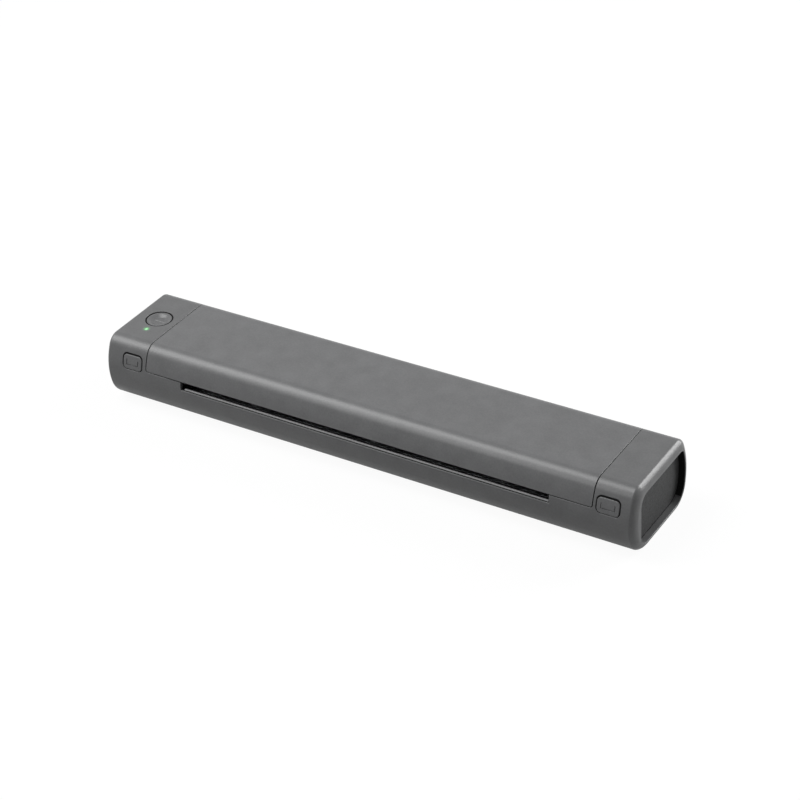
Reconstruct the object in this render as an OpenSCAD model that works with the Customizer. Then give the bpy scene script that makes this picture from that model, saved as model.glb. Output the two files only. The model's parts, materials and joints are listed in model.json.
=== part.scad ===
// Portable A4 thermal printer.
// X runs left to right as seen from the front, Y to the rear, Z up.
// The origin is under the middle of the body, at the bottom of the feet.

/* [Body] */
// Overall length
body_l = 310; // [300:1:330]
// Overall depth, over both bulges
body_d = 59; // [58:0.5:64]
// Overall height, feet included
body_h = 38.5; // [38:0.5:42]
// How far the feet stand below the shell
foot_proud = 0.5; // [0.3:0.1:1]
// Wall of the housing and the cover
wall = 2.2; // [1.8:0.1:2.4]
// Radius of the bulging front face
front_bulge_r = 32; // [30:1:60]
// Radius of the bulging rear face
rear_bulge_r = 40; // [36:1:60]
// Radius of the top front edge
top_front_r = 8; // [6:0.5:9]
// Radius of the lower front edge
low_front_r = 15; // [13:0.5:16]
// Radius of the top rear edge
top_rear_r = 5.5; // [4:0.5:7]
// Radius of the lower rear edge
low_rear_r = 13; // [12:0.5:14]
// Rounding of the two end rims
end_round = 3.2; // [2:0.1:3.4]
// Depth of the recess at each end
rim_depth = 4; // [3:0.1:4.4]
// Thickness of an end panel
panel_t = 1.8; // [1.2:0.1:2.4]

/* [Cover] */
// Length of the fixed block left of the cover
left_block = 26.8; // [26.5:0.1:30]
// Length of the fixed block right of the cover
right_block = 21.6; // [20.6:0.1:24]
// Height of the cover's lower edge
split_z = 25.6; // [25.3:0.1:26.4]
// Seam around the cover
seam = 0.4; // [0.25:0.05:0.45]
// Rounding of the cover's lower front corners
cover_corner_r = 1.5; // [1:0.5:3]
// Hinge axis, from the rear face
hinge_inset = 5.5; // [5.4:0.1:6]
// Height of the hinge axis
hinge_z = 21; // [20.6:0.1:21.4]
// Radius that the fixed rear wall keeps inside
hinge_sweep_r = 7.5; // [7.2:0.1:7.8]
// Radius of a hinge pin
hinge_pin_r = 1.5; // [1:0.1:1.6]
// Outer radius of a hinge knuckle
knuckle_r = 3; // [2.6:0.1:3]
// Width of a hinge arm
arm_w = 6; // [4:0.5:6]

/* [Paper path] */
// Distance from the cover's left end to the paper slot
slot_left = 22.6; // [19.5:0.5:27]
// Distance from the cover's right end to the paper slot
slot_right = 23; // [21.2:0.5:28]
// Lower edge of the front slot
slot_z = 20.8; // [20.4:0.1:21.2]
// Height of the tear bar's edge
lip_z = 22.05; // [21.9:0.05:22.4]
// How far the tear bar starts inside the slot
lip_inset = 2.5; // [1:0.5:5]
// Lower edge of the rear paper inlet
inlet_z = 23.6; // [23.4:0.1:24]
// Thickness of the lower paper guide
guide_t = 1.2; // [1:0.1:1.3]

/* [Platen] */
// Radius of the rubber roller
platen_r = 5; // [4.5:0.1:5.1]
// Radius of the roller's shaft
platen_shaft_r = 2.5; // [2:0.1:2.8]
// Roller axis, behind the front face
platen_inset = 16.5; // [16:0.1:17]
// Free height over the roller, under the cover's liner
platen_top_gap = 0.4; // [0.3:0.05:0.5]
// Thickness of a platen bush
bush_t = 1.6; // [1.2:0.1:1.8]
// Length of a platen bush
bush_l = 3; // [2:0.5:3]

/* [Gears] */
// Module of the slow gear pair
slow_module = 0.7; // [0.65:0.05:0.7]
// Teeth on the platen gear
platen_teeth = 16; // [15:1:16]
// Teeth on the small wheel of the compound gear
small_teeth = 14; // [13:1:14]
// Module of the fast gear pair
fast_module = 0.5; // [0.45:0.05:0.5]
// Teeth on the large wheel of the compound gear
large_teeth = 30; // [28:1:30]
// Teeth on the motor pinion
pinion_teeth = 10; // [10:1:11]
// Width of the slow gears
slow_w = 5; // [3:0.5:5]
// Width of the fast gears
fast_w = 3; // [2:0.5:3]
// Thinning of each tooth
backlash = 0.08; // [0.06:0.01:0.12]
// Radius of the compound gear's axle
axle_r = 1.5; // [1:0.1:1.8]

/* [Print head] */
// Depth of the heat sink, front to back
sink_d = 20; // [16:0.5:20]
// Thickness of the heat sink
sink_t = 2.5; // [2:0.1:2.6]
// Thickness of the ceramic strip
ceramic_t = 1; // [0.6:0.1:1]
// Radius of the heater ridge
ridge_r = 1; // [0.6:0.1:1.2]
// Gap for the paper between ridge and roller
paper_gap = 0.12; // [0.1:0.02:0.3]
// Radius of the head's pivot pin
head_pin_r = 1.2; // [0.8:0.1:1.3]

/* [Motor and battery] */
// Radius of the motor can
motor_r = 8.4; // [7:0.1:8.4]
// Length of the motor can
motor_l = 18; // [12:1:18]
// Radius of the motor shaft
motor_shaft_r = 0.75; // [0.5:0.05:0.9]
// Radius of a battery cell
cell_r = 9.2; // [8:0.1:9.3]
// Length of a battery cell
cell_l = 65; // [60:1:65]
// Thickness of the circuit boards
board_t = 1.6; // [1:0.2:1.6]

/* [Buttons] */
// Width of a release button
release_w = 12.3; // [10:0.1:12.4]
// Height of a release button
release_h = 8.3; // [8:0.1:8.6]
// Corner radius of a release button
release_r = 2.4; // [1:0.1:3]
// Middle height of a release button
release_z = 28.3; // [28.1:0.1:28.8]
// Travel of a release button
release_travel = 1.8; // [1:0.1:2]
// Radius of the power button
power_r = 7.2; // [5:0.1:7.4]
// Travel of the power button
power_travel = 0.6; // [0.3:0.1:0.6]
// Power button centre, from the left end
power_inset = 15.5; // [15:0.5:16.5]
// Power button centre, behind the middle
power_y = 0.6; // [0:0.1:1.4]
// Radius of the status light
light_r = 1; // [0.6:0.1:1.2]
// Gap around a button
button_gap = 0.3; // [0.15:0.05:0.3]

/* [Bottom] */
// Thickness of the bottom cover
bottom_t = 2; // [1.6:0.1:2]
// Distance from each end of the body to the bottom cover
bottom_margin = 12; // [12:0.5:15]
// Radius of a screw's thread
screw_r = 0.95; // [0.7:0.05:1]
// Radius of a screw's head
screw_head_r = 1.9; // [1.5:0.1:2]
// Radius of a foot
foot_r = 4; // [3:0.1:4.5]

/* [Hidden] */

$fn = 48;
e = 0.01;
far = 60;
fit = 0.05;
loose = 0.2;
seat = 0.05;

half_l = body_l / 2;
half_d = body_d / 2;
shell_z = foot_proud;
mid_z = (shell_z + body_h) / 2;
inner_top = body_h - wall;
inner_floor = shell_z + wall;

bay_x0 = left_block - half_l;
bay_x1 = half_l - right_block;
cover_x0 = bay_x0 + seam / 2;
cover_x1 = bay_x1 - seam / 2;
slot_x0 = bay_x0 + slot_left;
slot_x1 = bay_x1 - slot_right;
slot_mid = (slot_x0 + slot_x1) / 2;
bulkhead_t = 2;
pass_y0 = -4;
pass_y1 = 12;
pass_z1 = 15;
hinge_y = half_d - hinge_inset;

// Section of the body: one corner arc, the bulge and the other corner arc on each side.
// cut is how far the outline is drawn in.
function corner_y(bulge, r, z) = bulge - half_d - sqrt(pow(bulge - r, 2) - pow(z, 2));
function lean(bulge, r, z) = asin(z / (bulge - r));
function arc(y, z, r, a0, a1, n) =
    [for (i = [0:n]) [y + r * cos(a0 + (a1 - a0) * i / n), z + r * sin(a0 + (a1 - a0) * i / n)]];
function side(bulge, rt, rb, cut, n) =
    let (
        zt = body_h - rt - mid_z,
        zb = mid_z - shell_z - rb,
        at = lean(bulge, rt, zt),
        ab = lean(bulge, rb, zb)
    )
    concat(
        arc(corner_y(bulge, rt, zt), mid_z + zt, rt - cut, 90, 180 - at, n),
        arc(bulge - half_d, mid_z, bulge - cut, 180 - at + 1, 180 + ab - 1, n - 2),
        arc(corner_y(bulge, rb, zb), mid_z - zb, rb - cut, 180 + ab, 270, n)
    );
function section(cut, n = 8) =
    let (
        front = side(front_bulge_r, top_front_r, low_front_r, cut, n),
        rear = side(rear_bulge_r, top_rear_r, low_rear_r, cut, n),
        last = len(rear) - 1
    )
    concat(front, [for (i = [last:-1:0]) [-rear[i][0], rear[i][1]]]);

module along_x(x0, x1) {
    translate([x0, 0, 0])
        rotate([90, 0, 90])
            linear_extrude(x1 - x0) children();
}

module along_y(y0, y1) {
    translate([0, y1, 0])
        rotate([90, 0, 0])
            linear_extrude(y1 - y0) children();
}

module block(x0, x1, y0, y1, z0, z1) {
    translate([x0, y0, z0]) cube([x1 - x0, y1 - y0, z1 - z0]);
}

module rod_x(x0, x1, y, z, r) {
    translate([x0, y, z]) rotate([0, 90, 0]) cylinder(r = r, h = x1 - x0);
}

module disc(x, y, z0, z1, r) {
    translate([x, y, z0]) cylinder(r = r, h = z1 - z0);
}

module rounded(w, h, r) {
    square([w - 2 * r, h], center = true);
    square([w, h - 2 * r], center = true);
    for (x = [-1, 1], y = [-1, 1])
        translate([x * (w / 2 - r), y * (h / 2 - r)]) circle(r);
}

// Sleeve with rounded end rims, lofted through rings of the section.
ring_steps = 5;
ring_rise = [for (i = [ring_steps:-1:0]) 90 * i / ring_steps];
ring_x = concat(
    [for (a = ring_rise) -half_l + end_round * (1 - sin(a))],
    [for (i = [ring_steps:-1:0]) half_l - end_round * (1 - sin(ring_rise[i]))]
);
ring_cut = concat(
    [for (a = ring_rise) end_round * (1 - cos(a))],
    [for (i = [ring_steps:-1:0]) end_round * (1 - cos(ring_rise[i]))]
);

module sleeve() {
    rings = [for (cut = ring_cut) section(cut)];
    n = len(rings[0]);
    last = len(rings) - 1;
    points = [for (k = [0:last], p = rings[k]) [ring_x[k], p[0], p[1]]];
    sides = [for (k = [0:last - 1], i = [0:n - 1])
        [k * n + i, (k + 1) * n + i, (k + 1) * n + (i + 1) % n, k * n + (i + 1) % n]];
    ends = [[for (i = [0:n - 1]) i], [for (i = [n - 1:-1:0]) last * n + i]];
    polyhedron(points, concat(sides, ends));
}

// Recess of an end: flatter than the body's own outline.
rim_front = 8.1;
rim_rear = 3.6;
rim_low = 3.6;
rim_high = 5.4;
recess_front = half_d - rim_front;
recess_rear = half_d - rim_rear;
recess_low = shell_z + rim_low;
recess_high = body_h - rim_high;
recess_r = 6.5;

module recess_outline() {
    w = recess_front + recess_rear;
    h = recess_high - recess_low;
    translate([(recess_rear - recess_front) / 2, (recess_low + recess_high) / 2])
        rounded(w, h, recess_r);
}

// Cover and housing part along a level line in front, and round the hinge axis behind.
module cover_side(gap) {
    difference() {
        union() {
            translate([-far, split_z - gap]) square([far + hinge_y, far]);
            translate([hinge_y - e, hinge_z]) square([far, far]);
        }
        translate([hinge_y, hinge_z]) circle(hinge_sweep_r + seam - gap);
    }
}

module front_view(x0, x1, z0, r) {
    translate([x0 + r, z0]) square([x1 - x0 - 2 * r, far]);
    translate([x0, z0 + r]) square([x1 - x0, far]);
    for (x = [x0 + r, x1 - r]) translate([x, z0 + r]) circle(r);
}

module cover_space(gap) {
    intersection() {
        along_x(cover_x0 - gap / 2, cover_x1 + gap / 2) cover_side(gap);
        union() {
            along_y(-far, 0)
                front_view(cover_x0 - gap / 2, cover_x1 + gap / 2, split_z - gap,
                    cover_corner_r + gap);
            block(-half_l, half_l, -e, far, 0, far);
        }
    }
}

// Hinge arms
arm_gap = 0.8;
arm_x = [cover_x0 + arm_gap, cover_x1 - arm_gap - arm_w];
notch_gap = 0.5;
notch_z = hinge_z - knuckle_r + 0.4;
pin_proud = 0.8;

// Platen and gear train
platen_y = platen_inset - half_d;
liner_t = 1.2;
liner_z1 = inner_top - seat;
liner_z0 = liner_z1 - liner_t;
platen_z = liner_z0 - platen_top_gap - platen_r;
platen_x0 = slot_x0 - 0.5;
platen_x1 = slot_x1 + 1.5;
ear_w = bush_l;
left_ear_gap = 2;
right_ear_gap = 1.5;
slow_gap = 2;
fast_gap = 1;
left_ear_x = platen_x0 - left_ear_gap - ear_w;
right_ear_x = platen_x1 + right_ear_gap;
slow_x0 = left_ear_x - slow_gap - slow_w;
fast_x0 = slow_x0 - fast_gap - fast_w;
gear_y = platen_y;
gear_z = platen_z - slow_module * (platen_teeth + small_teeth) / 2;
fast_centres = fast_module * (large_teeth + pinion_teeth) / 2;
motor_angle = -49.5;
motor_y = gear_y + fast_centres * cos(motor_angle);
motor_z = gear_z + fast_centres * sin(motor_angle);
plate_t = 1.5;
left_plate_x = left_ear_x - 0.5;
right_plate_x = right_ear_x + 2;
plate_low = inner_floor;
motor_x0 = left_plate_x + plate_t;
motor_x1 = motor_x0 + motor_l;
motor_ear = 11.6;
motor_ear_t = 0.8;
motor_boss_r = 2.5;
motor_screw_r = 0.9;

// Print head
head_lead = 7.5;
head_y0 = platen_y - head_lead;
ridge_z = platen_z - platen_r - paper_gap;
ridge_proud = 0.5;
ceramic_z1 = ridge_z - ridge_proud;
sink_z1 = ceramic_z1 - ceramic_t;
sink_z0 = sink_z1 - sink_t;
head_x0 = slot_x0 + 1;
head_x1 = slot_x1;
head_pin_y = head_y0 + sink_d - 1.5;
head_pin_z = sink_z0 + 0.4;
head_knuckle_r = head_pin_r + 1.1;
plate_top = sink_z1;
frame_t = 1.2;
frame_lip = 3;
head_spring_room = 4.2;
frame_z1 = sink_z0 - head_spring_room;
frame_z0 = frame_z1 - frame_t;
head_spring_pitch = 73;
spring_wire = 0.3;
spring_seat = 0.05;
spring_xs = [for (s = [-1, 0, 1]) (head_x0 + head_x1) / 2 + s * head_spring_pitch];
lug_w = 12;

// Battery
cell_y = half_d - 16.9;
cell_z = inner_floor + 1.3 + cell_r;
cell_gap = 1.2;
terminal_t = 0.4;
terminal_r = 2.4;
cradle_end = 2;
cradle_room = 1;
cradle_in = cell_gap / 2 + cell_l + cradle_room;
cradle_reach = cradle_in + cradle_end;

// Bottom cover, its screws and feet
bottom_l = body_l - 2 * bottom_margin;
bottom_gap = 0.2;
bottom_y0 = 16.5 - half_d;
bottom_y1 = half_d - 14.7;
plate_z1 = shell_z + bottom_t;
tab_w = 7;
tab_d = 6;
tab_t = 2.5;
tab_z1 = plate_z1 + tab_t;
tab_end = bottom_l / 2 - 5;
tab_gap = 1.9;
tab_xs = [-tab_end, (motor_x1 - cradle_reach) / 2, cradle_reach + tab_gap + tab_w / 2, tab_end];
tab_ys = [bottom_y0 + 2.6, bottom_y1 - 2.6];
screw_head_t = 1;
screw_sink = 0.2;
socket_r = 0.7;
foot_end = bottom_l / 2 - 25;
foot_xs = [-foot_end, foot_end];
foot_ys = [bottom_y0 + 4.8, bottom_y1 - 4.8];
foot_sink = 0.5;

// Main board and the cable to the head
main_l = 94;
main_w = 22;
main_x1 = slot_x1 - 5;
main_x0 = main_x1 - main_l;
main_y0 = 8.5 - half_d;
main_y1 = main_y0 + main_w;
main_z0 = inner_floor + 3.4;
main_z1 = main_z0 + board_t;
post_xs = [main_x0 + 4, main_x1 - 4];
post_ys = [main_y1 - 9.6, main_y1 - 2.6];
post_r = 1.9;
cable_x0 = main_x0 + 48;
cable_x1 = main_x1 - 8;
cable_y = head_pin_y - 4.2;
cable_t = 0.4;
cable_plug_t = 3.2;
cable_plug_h = 2.4;

// Left compartment
power_x = power_inset - half_l;
light_y = power_y - 11.2;
io_z0 = 20;
io_z1 = io_z0 + board_t;
io_x0 = rim_depth + panel_t + 0.6 - half_l;
io_x1 = bay_x0 - bulkhead_t - 0.3;
switch_h = 3.5;
plunger_h = 0.4;
plunger_r = 1.7;
cap_sink = 0.2;
cap_t = 2.8;
cap_z1 = body_h - cap_sink;
cap_z0 = cap_z1 - cap_t;
shelf_t = 1.2;
shelf_z = cap_z0 - 6.5;
stem_r = 1.6;
dish_r = 40;
dish_depth = 0.4;
usb_w = 8.94;
usb_h = 3.2;
usb_l = 7.4;
usb_y = power_y + 4;
usb_z = io_z1 + usb_h / 2;
panel_x = half_l - rim_depth;

// Release buttons and latches. Each side gives the button's middle and the way to the cover.
left_release_gap = 2.5;
right_release_gap = 1.7;
left_release_x = bay_x0 - left_release_gap - release_w / 2;
right_release_x = bay_x1 + right_release_gap + release_w / 2;
cap_depth = 5;
cap_y = cap_depth - half_d;
slider_t = 3;
slider_w = 7.6;
slider_h = 6;
hook_y = cap_y + 0.6;
hook_h = 2;
hook_reach = 6;
hook_gap = 0.5;
latch_spring_r = 2.1;
web_y = cap_y + 10.6;
web_t = 1.2;
striker_w = 3.6;
striker_inset = 2;
striker_gap = 0.8;

module helix_spring(r, wire, length, turns) {
    steps = 10;
    n = 6;
    total = turns * steps;
    rings = [for (k = [0:total])
        let (a = 360 * k / steps, z = wire + (length - 2 * wire) * k / total)
        [for (i = [0:n - 1])
            let (b = 360 * i / n, q = r + wire * cos(b))
            [q * cos(a), q * sin(a), z + wire * sin(b)]]];
    points = [for (ring = rings, p = ring) p];
    sides = [for (k = [0:total - 1], i = [0:n - 1], t = [0, 1])
        let (a = k * n + i, b = k * n + (i + 1) % n)
        t == 0 ? [a, b, a + n] : [b, b + n, a + n]];
    ends = [[for (i = [n - 1:-1:0]) i], [for (i = [0:n - 1]) total * n + i]];
    polyhedron(points, concat(sides, ends));
}

// Involute wheel with a tooth on the +Y side of its own outline.
pressure_angle = 25;
function involute(a) = tan(a) * 180 / PI - a;
function half_tooth(r, rp, n) =
    let (rb = rp * cos(pressure_angle))
    90 / n - backlash / 2 / rp * 180 / PI + involute(pressure_angle)
        - involute(acos(min(1, rb / r)));
function tooth_radii(m, n) =
    let (rp = m * n / 2, rb = rp * cos(pressure_angle), ra = rp + 0.9 * m)
    concat([rp - 1.2 * m], [for (k = [0:4]) rb + (ra - rb) * k / 4]);
function wheel(m, n, turn) =
    let (rp = m * n / 2, rb = rp * cos(pressure_angle), radii = tooth_radii(m, n), top = len(radii) - 1)
    [for (t = [0:n - 1], s = [-1, 1], k = [0:top])
        let (
            r = radii[s < 0 ? k : top - k],
            a = turn + 360 * t / n + s * half_tooth(max(r, rb), rp, n)
        )
        [r * cos(a), r * sin(a)]];

module wheel_x(x0, x1, y, z, m, n, turn) {
    translate([0, y, z]) along_x(x0, x1) polygon(wheel(m, n, turn));
}

module main_housing() {
    color("#5c5d5f")
        difference() {
            union() {
                difference() {
                    sleeve();
                    along_x(-panel_x, panel_x) polygon(section(wall));
                    block(-bottom_l / 2 - bottom_gap, bottom_l / 2 + bottom_gap,
                        bottom_y0 - bottom_gap, bottom_y1 + bottom_gap, -far, inner_floor);
                }
                for (x = [bay_x0 - bulkhead_t, bay_x1]) bulkhead(x);
                for (x = tab_xs, y = tab_ys) screw_tab(x, y);
                guide_ledge();
                button_shelf();
                spring_web(left_release_x, 1);
                spring_web(right_release_x, -1);
            }
            cover_space(seam);
            end_recesses();
            paper_openings();
            hinge_cuts();
            button_holes();
            for (x = tab_xs, y = tab_ys) disc(x, y, 0, far / 6, screw_r + fit);
            rod_x(bay_x0 - bulkhead_t - e, bay_x0 + e, gear_y, gear_z, axle_r + fit);
        }
}

module bulkhead(x) {
    difference() {
        along_x(x, x + bulkhead_t) polygon(section(wall - 0.1));
        block(x - 1, x + bulkhead_t + 1, -far, far, -far, inner_floor);
        block(x - 1, x + bulkhead_t + 1, pass_y0, pass_y1, -far, pass_z1);
    }
}

module screw_tab(x, y) {
    inward = 2.4;
    outward = tab_d - inward;
    y0 = y > 0 ? y - inward : y - outward;
    block(x - tab_w / 2, x + tab_w / 2, y0, y0 + tab_d, plate_z1 + seat, tab_z1);
}

module guide_ledge() {
    intersection() {
        block(slot_x0, slot_x1, hinge_y - 1.5, half_d, 20.8, inlet_z - guide_t - loose);
        along_x(slot_x0, slot_x1) polygon(section(wall - 0.1));
    }
}

module button_shelf() {
    difference() {
        block(power_x - 7, bay_x0 - 1, power_y - 4, power_y + 4, shelf_z - shelf_t, shelf_z);
        disc(power_x, power_y, shelf_z - 2, shelf_z + 1, stem_r + 0.15);
    }
}

module spring_web(x, way) {
    edge = way > 0 ? bay_x0 - 1 : bay_x1 + 1;
    x0 = min(x - 2.5 * way, edge);
    x1 = max(x - 2.5 * way, edge);
    block(x0, x1, web_y, web_y + web_t, release_z - 4.5, inner_top + 0.1);
}

module end_recesses() {
    along_x(-half_l - 1, -panel_x + e) recess_outline();
    along_x(panel_x - e, half_l + 1) recess_outline();
}

module paper_openings() {
    block(slot_x0, slot_x1, -far, -half_d + 9, slot_z, split_z);
    block(slot_x0, slot_x1, lip_wall + lip_sink / 2 - half_d, -half_d + 9,
        lip_foot_z - seat, slot_z + e);
    block(slot_x0, slot_x1, hinge_y + 1, far, inlet_z, far);
}

module hinge_cuts() {
    for (x = arm_x)
        block(x - notch_gap, x + arm_w + notch_gap, hinge_y + 1, far, notch_z, far);
    rod_x(bay_x0 - bulkhead_t - e, bay_x0 + e, hinge_y, hinge_z, hinge_pin_r + fit);
    rod_x(bay_x1 - e, bay_x1 + bulkhead_t + e, hinge_y, hinge_z, hinge_pin_r + fit);
}

module button_holes() {
    for (x = [left_release_x, right_release_x])
        along_y(-far, cap_y + slider_t + release_travel + hook_gap)
            translate([x, release_z])
                rounded(release_w + 2 * button_gap, release_h + 2 * button_gap,
                    release_r + button_gap);
    for (x = [bay_x0 - bulkhead_t - e, bay_x1 - e])
        block(x, x + bulkhead_t + 2 * e, hook_y - hook_gap, hook_y + slider_t + release_travel,
            release_z - hook_h / 2 - hook_gap, release_z + hook_h / 2 + hook_gap);
    disc(power_x, power_y, inner_top - 1, body_h + 1, power_r + button_gap);
    disc(power_x, light_y, inner_top - 1, body_h + 1, light_r + fit);
}

module bottom_cover() {
    color("#4b4c4e")
        difference() {
            union() {
                block(-bottom_l / 2, bottom_l / 2, bottom_y0, bottom_y1, shell_z, plate_z1);
                for (x = post_xs, y = post_ys) disc(x, y, plate_z1 - e, main_z0, post_r);
            }
            for (x = tab_xs, y = tab_ys) {
                disc(x, y, 0, far, screw_r + fit);
                disc(x, y, 0, shell_z + screw_sink + screw_head_t, screw_head_r + fit);
            }
            for (x = foot_xs, y = foot_ys) disc(x, y, 0, shell_z + foot_sink, foot_r + fit);
        }
}

module bottom_screws() {
    color("silver")
        for (x = tab_xs, y = tab_ys)
            difference() {
                union() {
                    disc(x, y, shell_z + screw_sink, shell_z + screw_sink + screw_head_t,
                        screw_head_r);
                    disc(x, y, shell_z + screw_sink + 0.9, tab_z1, screw_r);
                }
                disc(x, y, 0, shell_z + screw_sink + 0.6, socket_r, $fn = 6);
            }
}

module rubber_feet() {
    color("#2a2a2b")
        for (x = foot_xs, y = foot_ys) disc(x, y, 0, shell_z + foot_sink, foot_r);
}

module end_panel(x) {
    along_x(x, x + panel_t) polygon(section(wall + loose));
}

module left_end_panel() {
    color("#3d3e40")
        difference() {
            end_panel(-panel_x);
            along_x(-half_l, -panel_x + panel_t + 1)
                translate([usb_y, usb_z])
                    rounded(usb_w + 0.2, usb_h + 0.2, usb_h / 2);
        }
}

module right_end_panel() {
    color("#3d3e40") end_panel(panel_x - panel_t);
}

// The tear bar shows a narrow lip, and its foot stands in a pocket behind the slot's lower wall.
lip_t = 1;
lip_sink = 0.35;
lip_top = 0.7;
lip_fall = 1.1;
lip_foot_t = 1;
lip_foot_z = 16;
lip_wall = 1.2;

module tear_bar() {
    front = lip_sink - half_d;
    foot = lip_wall + lip_sink / 2 + seat - half_d;
    color("#8f9093")
        along_x(slot_x0 + lip_inset, slot_x1 - loose)
            polygon([[front, lip_z - lip_t], [foot, lip_z - lip_t], [foot, lip_foot_z],
                [foot + lip_foot_t, lip_foot_z], [foot + lip_foot_t, lip_z - lip_fall],
                [front + lip_top, lip_z], [front, lip_z]]);
}

rib_pitch = 20;
rib_last = floor((slot_x1 - slot_x0 - 10) / rib_pitch);
sensor_x = slot_mid + 1;
sensor_w = 6;
sensor_y0 = head_pin_y + 5;
sensor_y1 = sensor_y0 + 4;

module lower_paper_guide() {
    y0 = head_pin_y + head_knuckle_r + 0.6;
    y1 = half_d - wall - 0.6;
    color("#2c2d2f")
        difference() {
            union() {
                block(slot_x0 + loose, slot_x1 - loose, y0, y1, inlet_z - guide_t, inlet_z);
                for (i = [0:rib_last])
                    block(slot_x0 + 6 + rib_pitch * i, slot_x0 + 7 + rib_pitch * i,
                        y0 + 2, y1 - 1, inlet_z - e, inlet_z + 0.5);
            }
            block(sensor_x - loose, sensor_x + sensor_w + loose,
                sensor_y0 - loose, sensor_y1 + loose, 0, far);
        }
}

module chassis_plate(x, y0, y1) {
    block(x, x + plate_t, y0, y1, plate_low, plate_top - 3);
    block(x, x + plate_t, head_y0, y1, plate_top - 4, plate_top);
}

module left_chassis_plate() {
    color("#b9bbbe")
        difference() {
            chassis_plate(left_plate_x, head_y0 + 7, head_pin_y + 8);
            rod_x(left_plate_x - 1, left_plate_x + 3, gear_y, gear_z, axle_r + fit);
            rod_x(left_plate_x - 1, left_plate_x + 3, motor_y, motor_z, motor_boss_r + 2 * fit);
            rod_x(left_plate_x - 1, left_plate_x + 3, head_pin_y, head_pin_z, head_pin_r + fit);
            for (s = [-1, 1])
                rod_x(left_plate_x - 1, left_plate_x + 3, motor_y + s * motor_ear, motor_z,
                    motor_screw_r + fit);
        }
}

module right_chassis_plate() {
    color("#b9bbbe")
        difference() {
            chassis_plate(right_plate_x, head_y0 + 7, head_pin_y + 4);
            rod_x(right_plate_x - 1, right_plate_x + 3, head_pin_y, head_pin_z, head_pin_r + fit);
        }
}

module chassis_frame() {
    x0 = left_plate_x + plate_t;
    y0 = head_y0 + 0.5;
    y1 = head_pin_y + 2;
    color("#a9abae")
        difference() {
            union() {
                block(x0, right_plate_x, y0, y1, frame_z0, frame_z1);
                for (y = [y0, y1 - frame_t])
                    block(x0, right_plate_x, y, y + frame_t, frame_z0 - frame_lip, frame_z1);
            }
            block(x0 - 1, motor_x1 + 2.5, motor_y - motor_r - 0.6, far, 0, frame_z1 + 1);
            block(x0 - 1, x0 + motor_ear_t + 0.4, -far, far, 0, frame_z0);
            block(cable_x0 - 2, cable_x1 + 2, cable_y - 1.4, y1 - frame_t - 0.3, 0, frame_z1 + 1);
        }
}

module print_head_heat_sink() {
    color("#c4c6c9")
        difference() {
            union() {
                block(head_x0, head_x1, head_y0, head_pin_y - 1, sink_z0, sink_z1);
                for (x = [motor_x1 + 7.5, (head_x0 + head_x1 - lug_w) / 2, head_x1 - lug_w])
                    rod_x(x, x + lug_w, head_pin_y, head_pin_z, head_knuckle_r);
            }
            rod_x(head_x0 - 1, head_x1 + 1, head_pin_y, head_pin_z, head_pin_r + fit);
        }
}

module print_head_ceramic() {
    color("#efe9d8") {
        block(head_x0, head_x1, platen_y - 6, platen_y + 6.5, sink_z1, ceramic_z1);
        intersection() {
            rod_x(head_x0 + 1, head_x1 - 1, platen_y, ridge_z - ridge_r, ridge_r);
            block(head_x0, head_x1, -far, far, ceramic_z1 - 0.2, far);
        }
    }
}

module head_pivot_pin() {
    color("silver")
        rod_x(left_plate_x - 0.5, right_plate_x + plate_t + 0.5, head_pin_y, head_pin_z, head_pin_r);
}

module head_springs() {
    color("silver")
        for (x = spring_xs)
            translate([x, platen_y, frame_z1 + spring_seat])
                helix_spring(2.4, spring_wire, head_spring_room - 3 * spring_seat, 4);
}

module stepper_motor() {
    ear_r = 2.6;
    ear_x1 = motor_x0 + motor_ear_t;
    color("#9b9da0")
        difference() {
            union() {
                rod_x(motor_x0, motor_x1, motor_y, motor_z, motor_r);
                rod_x(motor_x0 - 1, motor_x0 + 1, motor_y, motor_z, motor_boss_r);
                block(motor_x0, ear_x1, motor_y - motor_ear, motor_y + motor_ear,
                    motor_z - ear_r, motor_z + ear_r);
                for (s = [-1, 1]) rod_x(motor_x0, ear_x1, motor_y + s * motor_ear, motor_z, ear_r);
            }
            rod_x(motor_x0 - 2, motor_x0 + 3, motor_y, motor_z, motor_shaft_r + fit);
            for (s = [-1, 1])
                rod_x(motor_x0 - 1, ear_x1 + 1, motor_y + s * motor_ear, motor_z,
                    motor_screw_r + fit);
        }
}

module motor_screws() {
    color("silver")
        for (s = [-1, 1]) {
            rod_x(left_plate_x - 1, left_plate_x, motor_y + s * motor_ear, motor_z, 1.7);
            rod_x(left_plate_x - 0.5, motor_x0 + 1.5, motor_y + s * motor_ear, motor_z,
                motor_screw_r);
        }
}

module motor_shaft() {
    color("silver")
        rod_x(fast_x0 - 0.3, motor_x0 + 2.8, motor_y, motor_z, motor_shaft_r);
}

module motor_pinion() {
    color("#c9a44c")
        difference() {
            wheel_x(fast_x0, fast_x0 + fast_w, motor_y, motor_z, fast_module, pinion_teeth,
                motor_angle + 180 + 180 / pinion_teeth);
            rod_x(fast_x0 - 1, fast_x0 + fast_w + 1, motor_y, motor_z, motor_shaft_r + 0.01);
        }
}

module compound_gear() {
    color("#e7e4da")
        difference() {
            union() {
                wheel_x(fast_x0, fast_x0 + fast_w, gear_y, gear_z, fast_module, large_teeth,
                    motor_angle);
                wheel_x(slow_x0, slow_x0 + slow_w, gear_y, gear_z, slow_module, small_teeth,
                    90 + 180 / small_teeth);
                rod_x(fast_x0, slow_x0 + slow_w, gear_y, gear_z, axle_r + 1.2);
            }
            rod_x(fast_x0 - 1, slow_x0 + slow_w + 1, gear_y, gear_z, axle_r + fit);
        }
}

module compound_gear_axle() {
    color("silver")
        rod_x(bay_x0 - bulkhead_t, motor_x0, gear_y, gear_z, axle_r);
}

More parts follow.
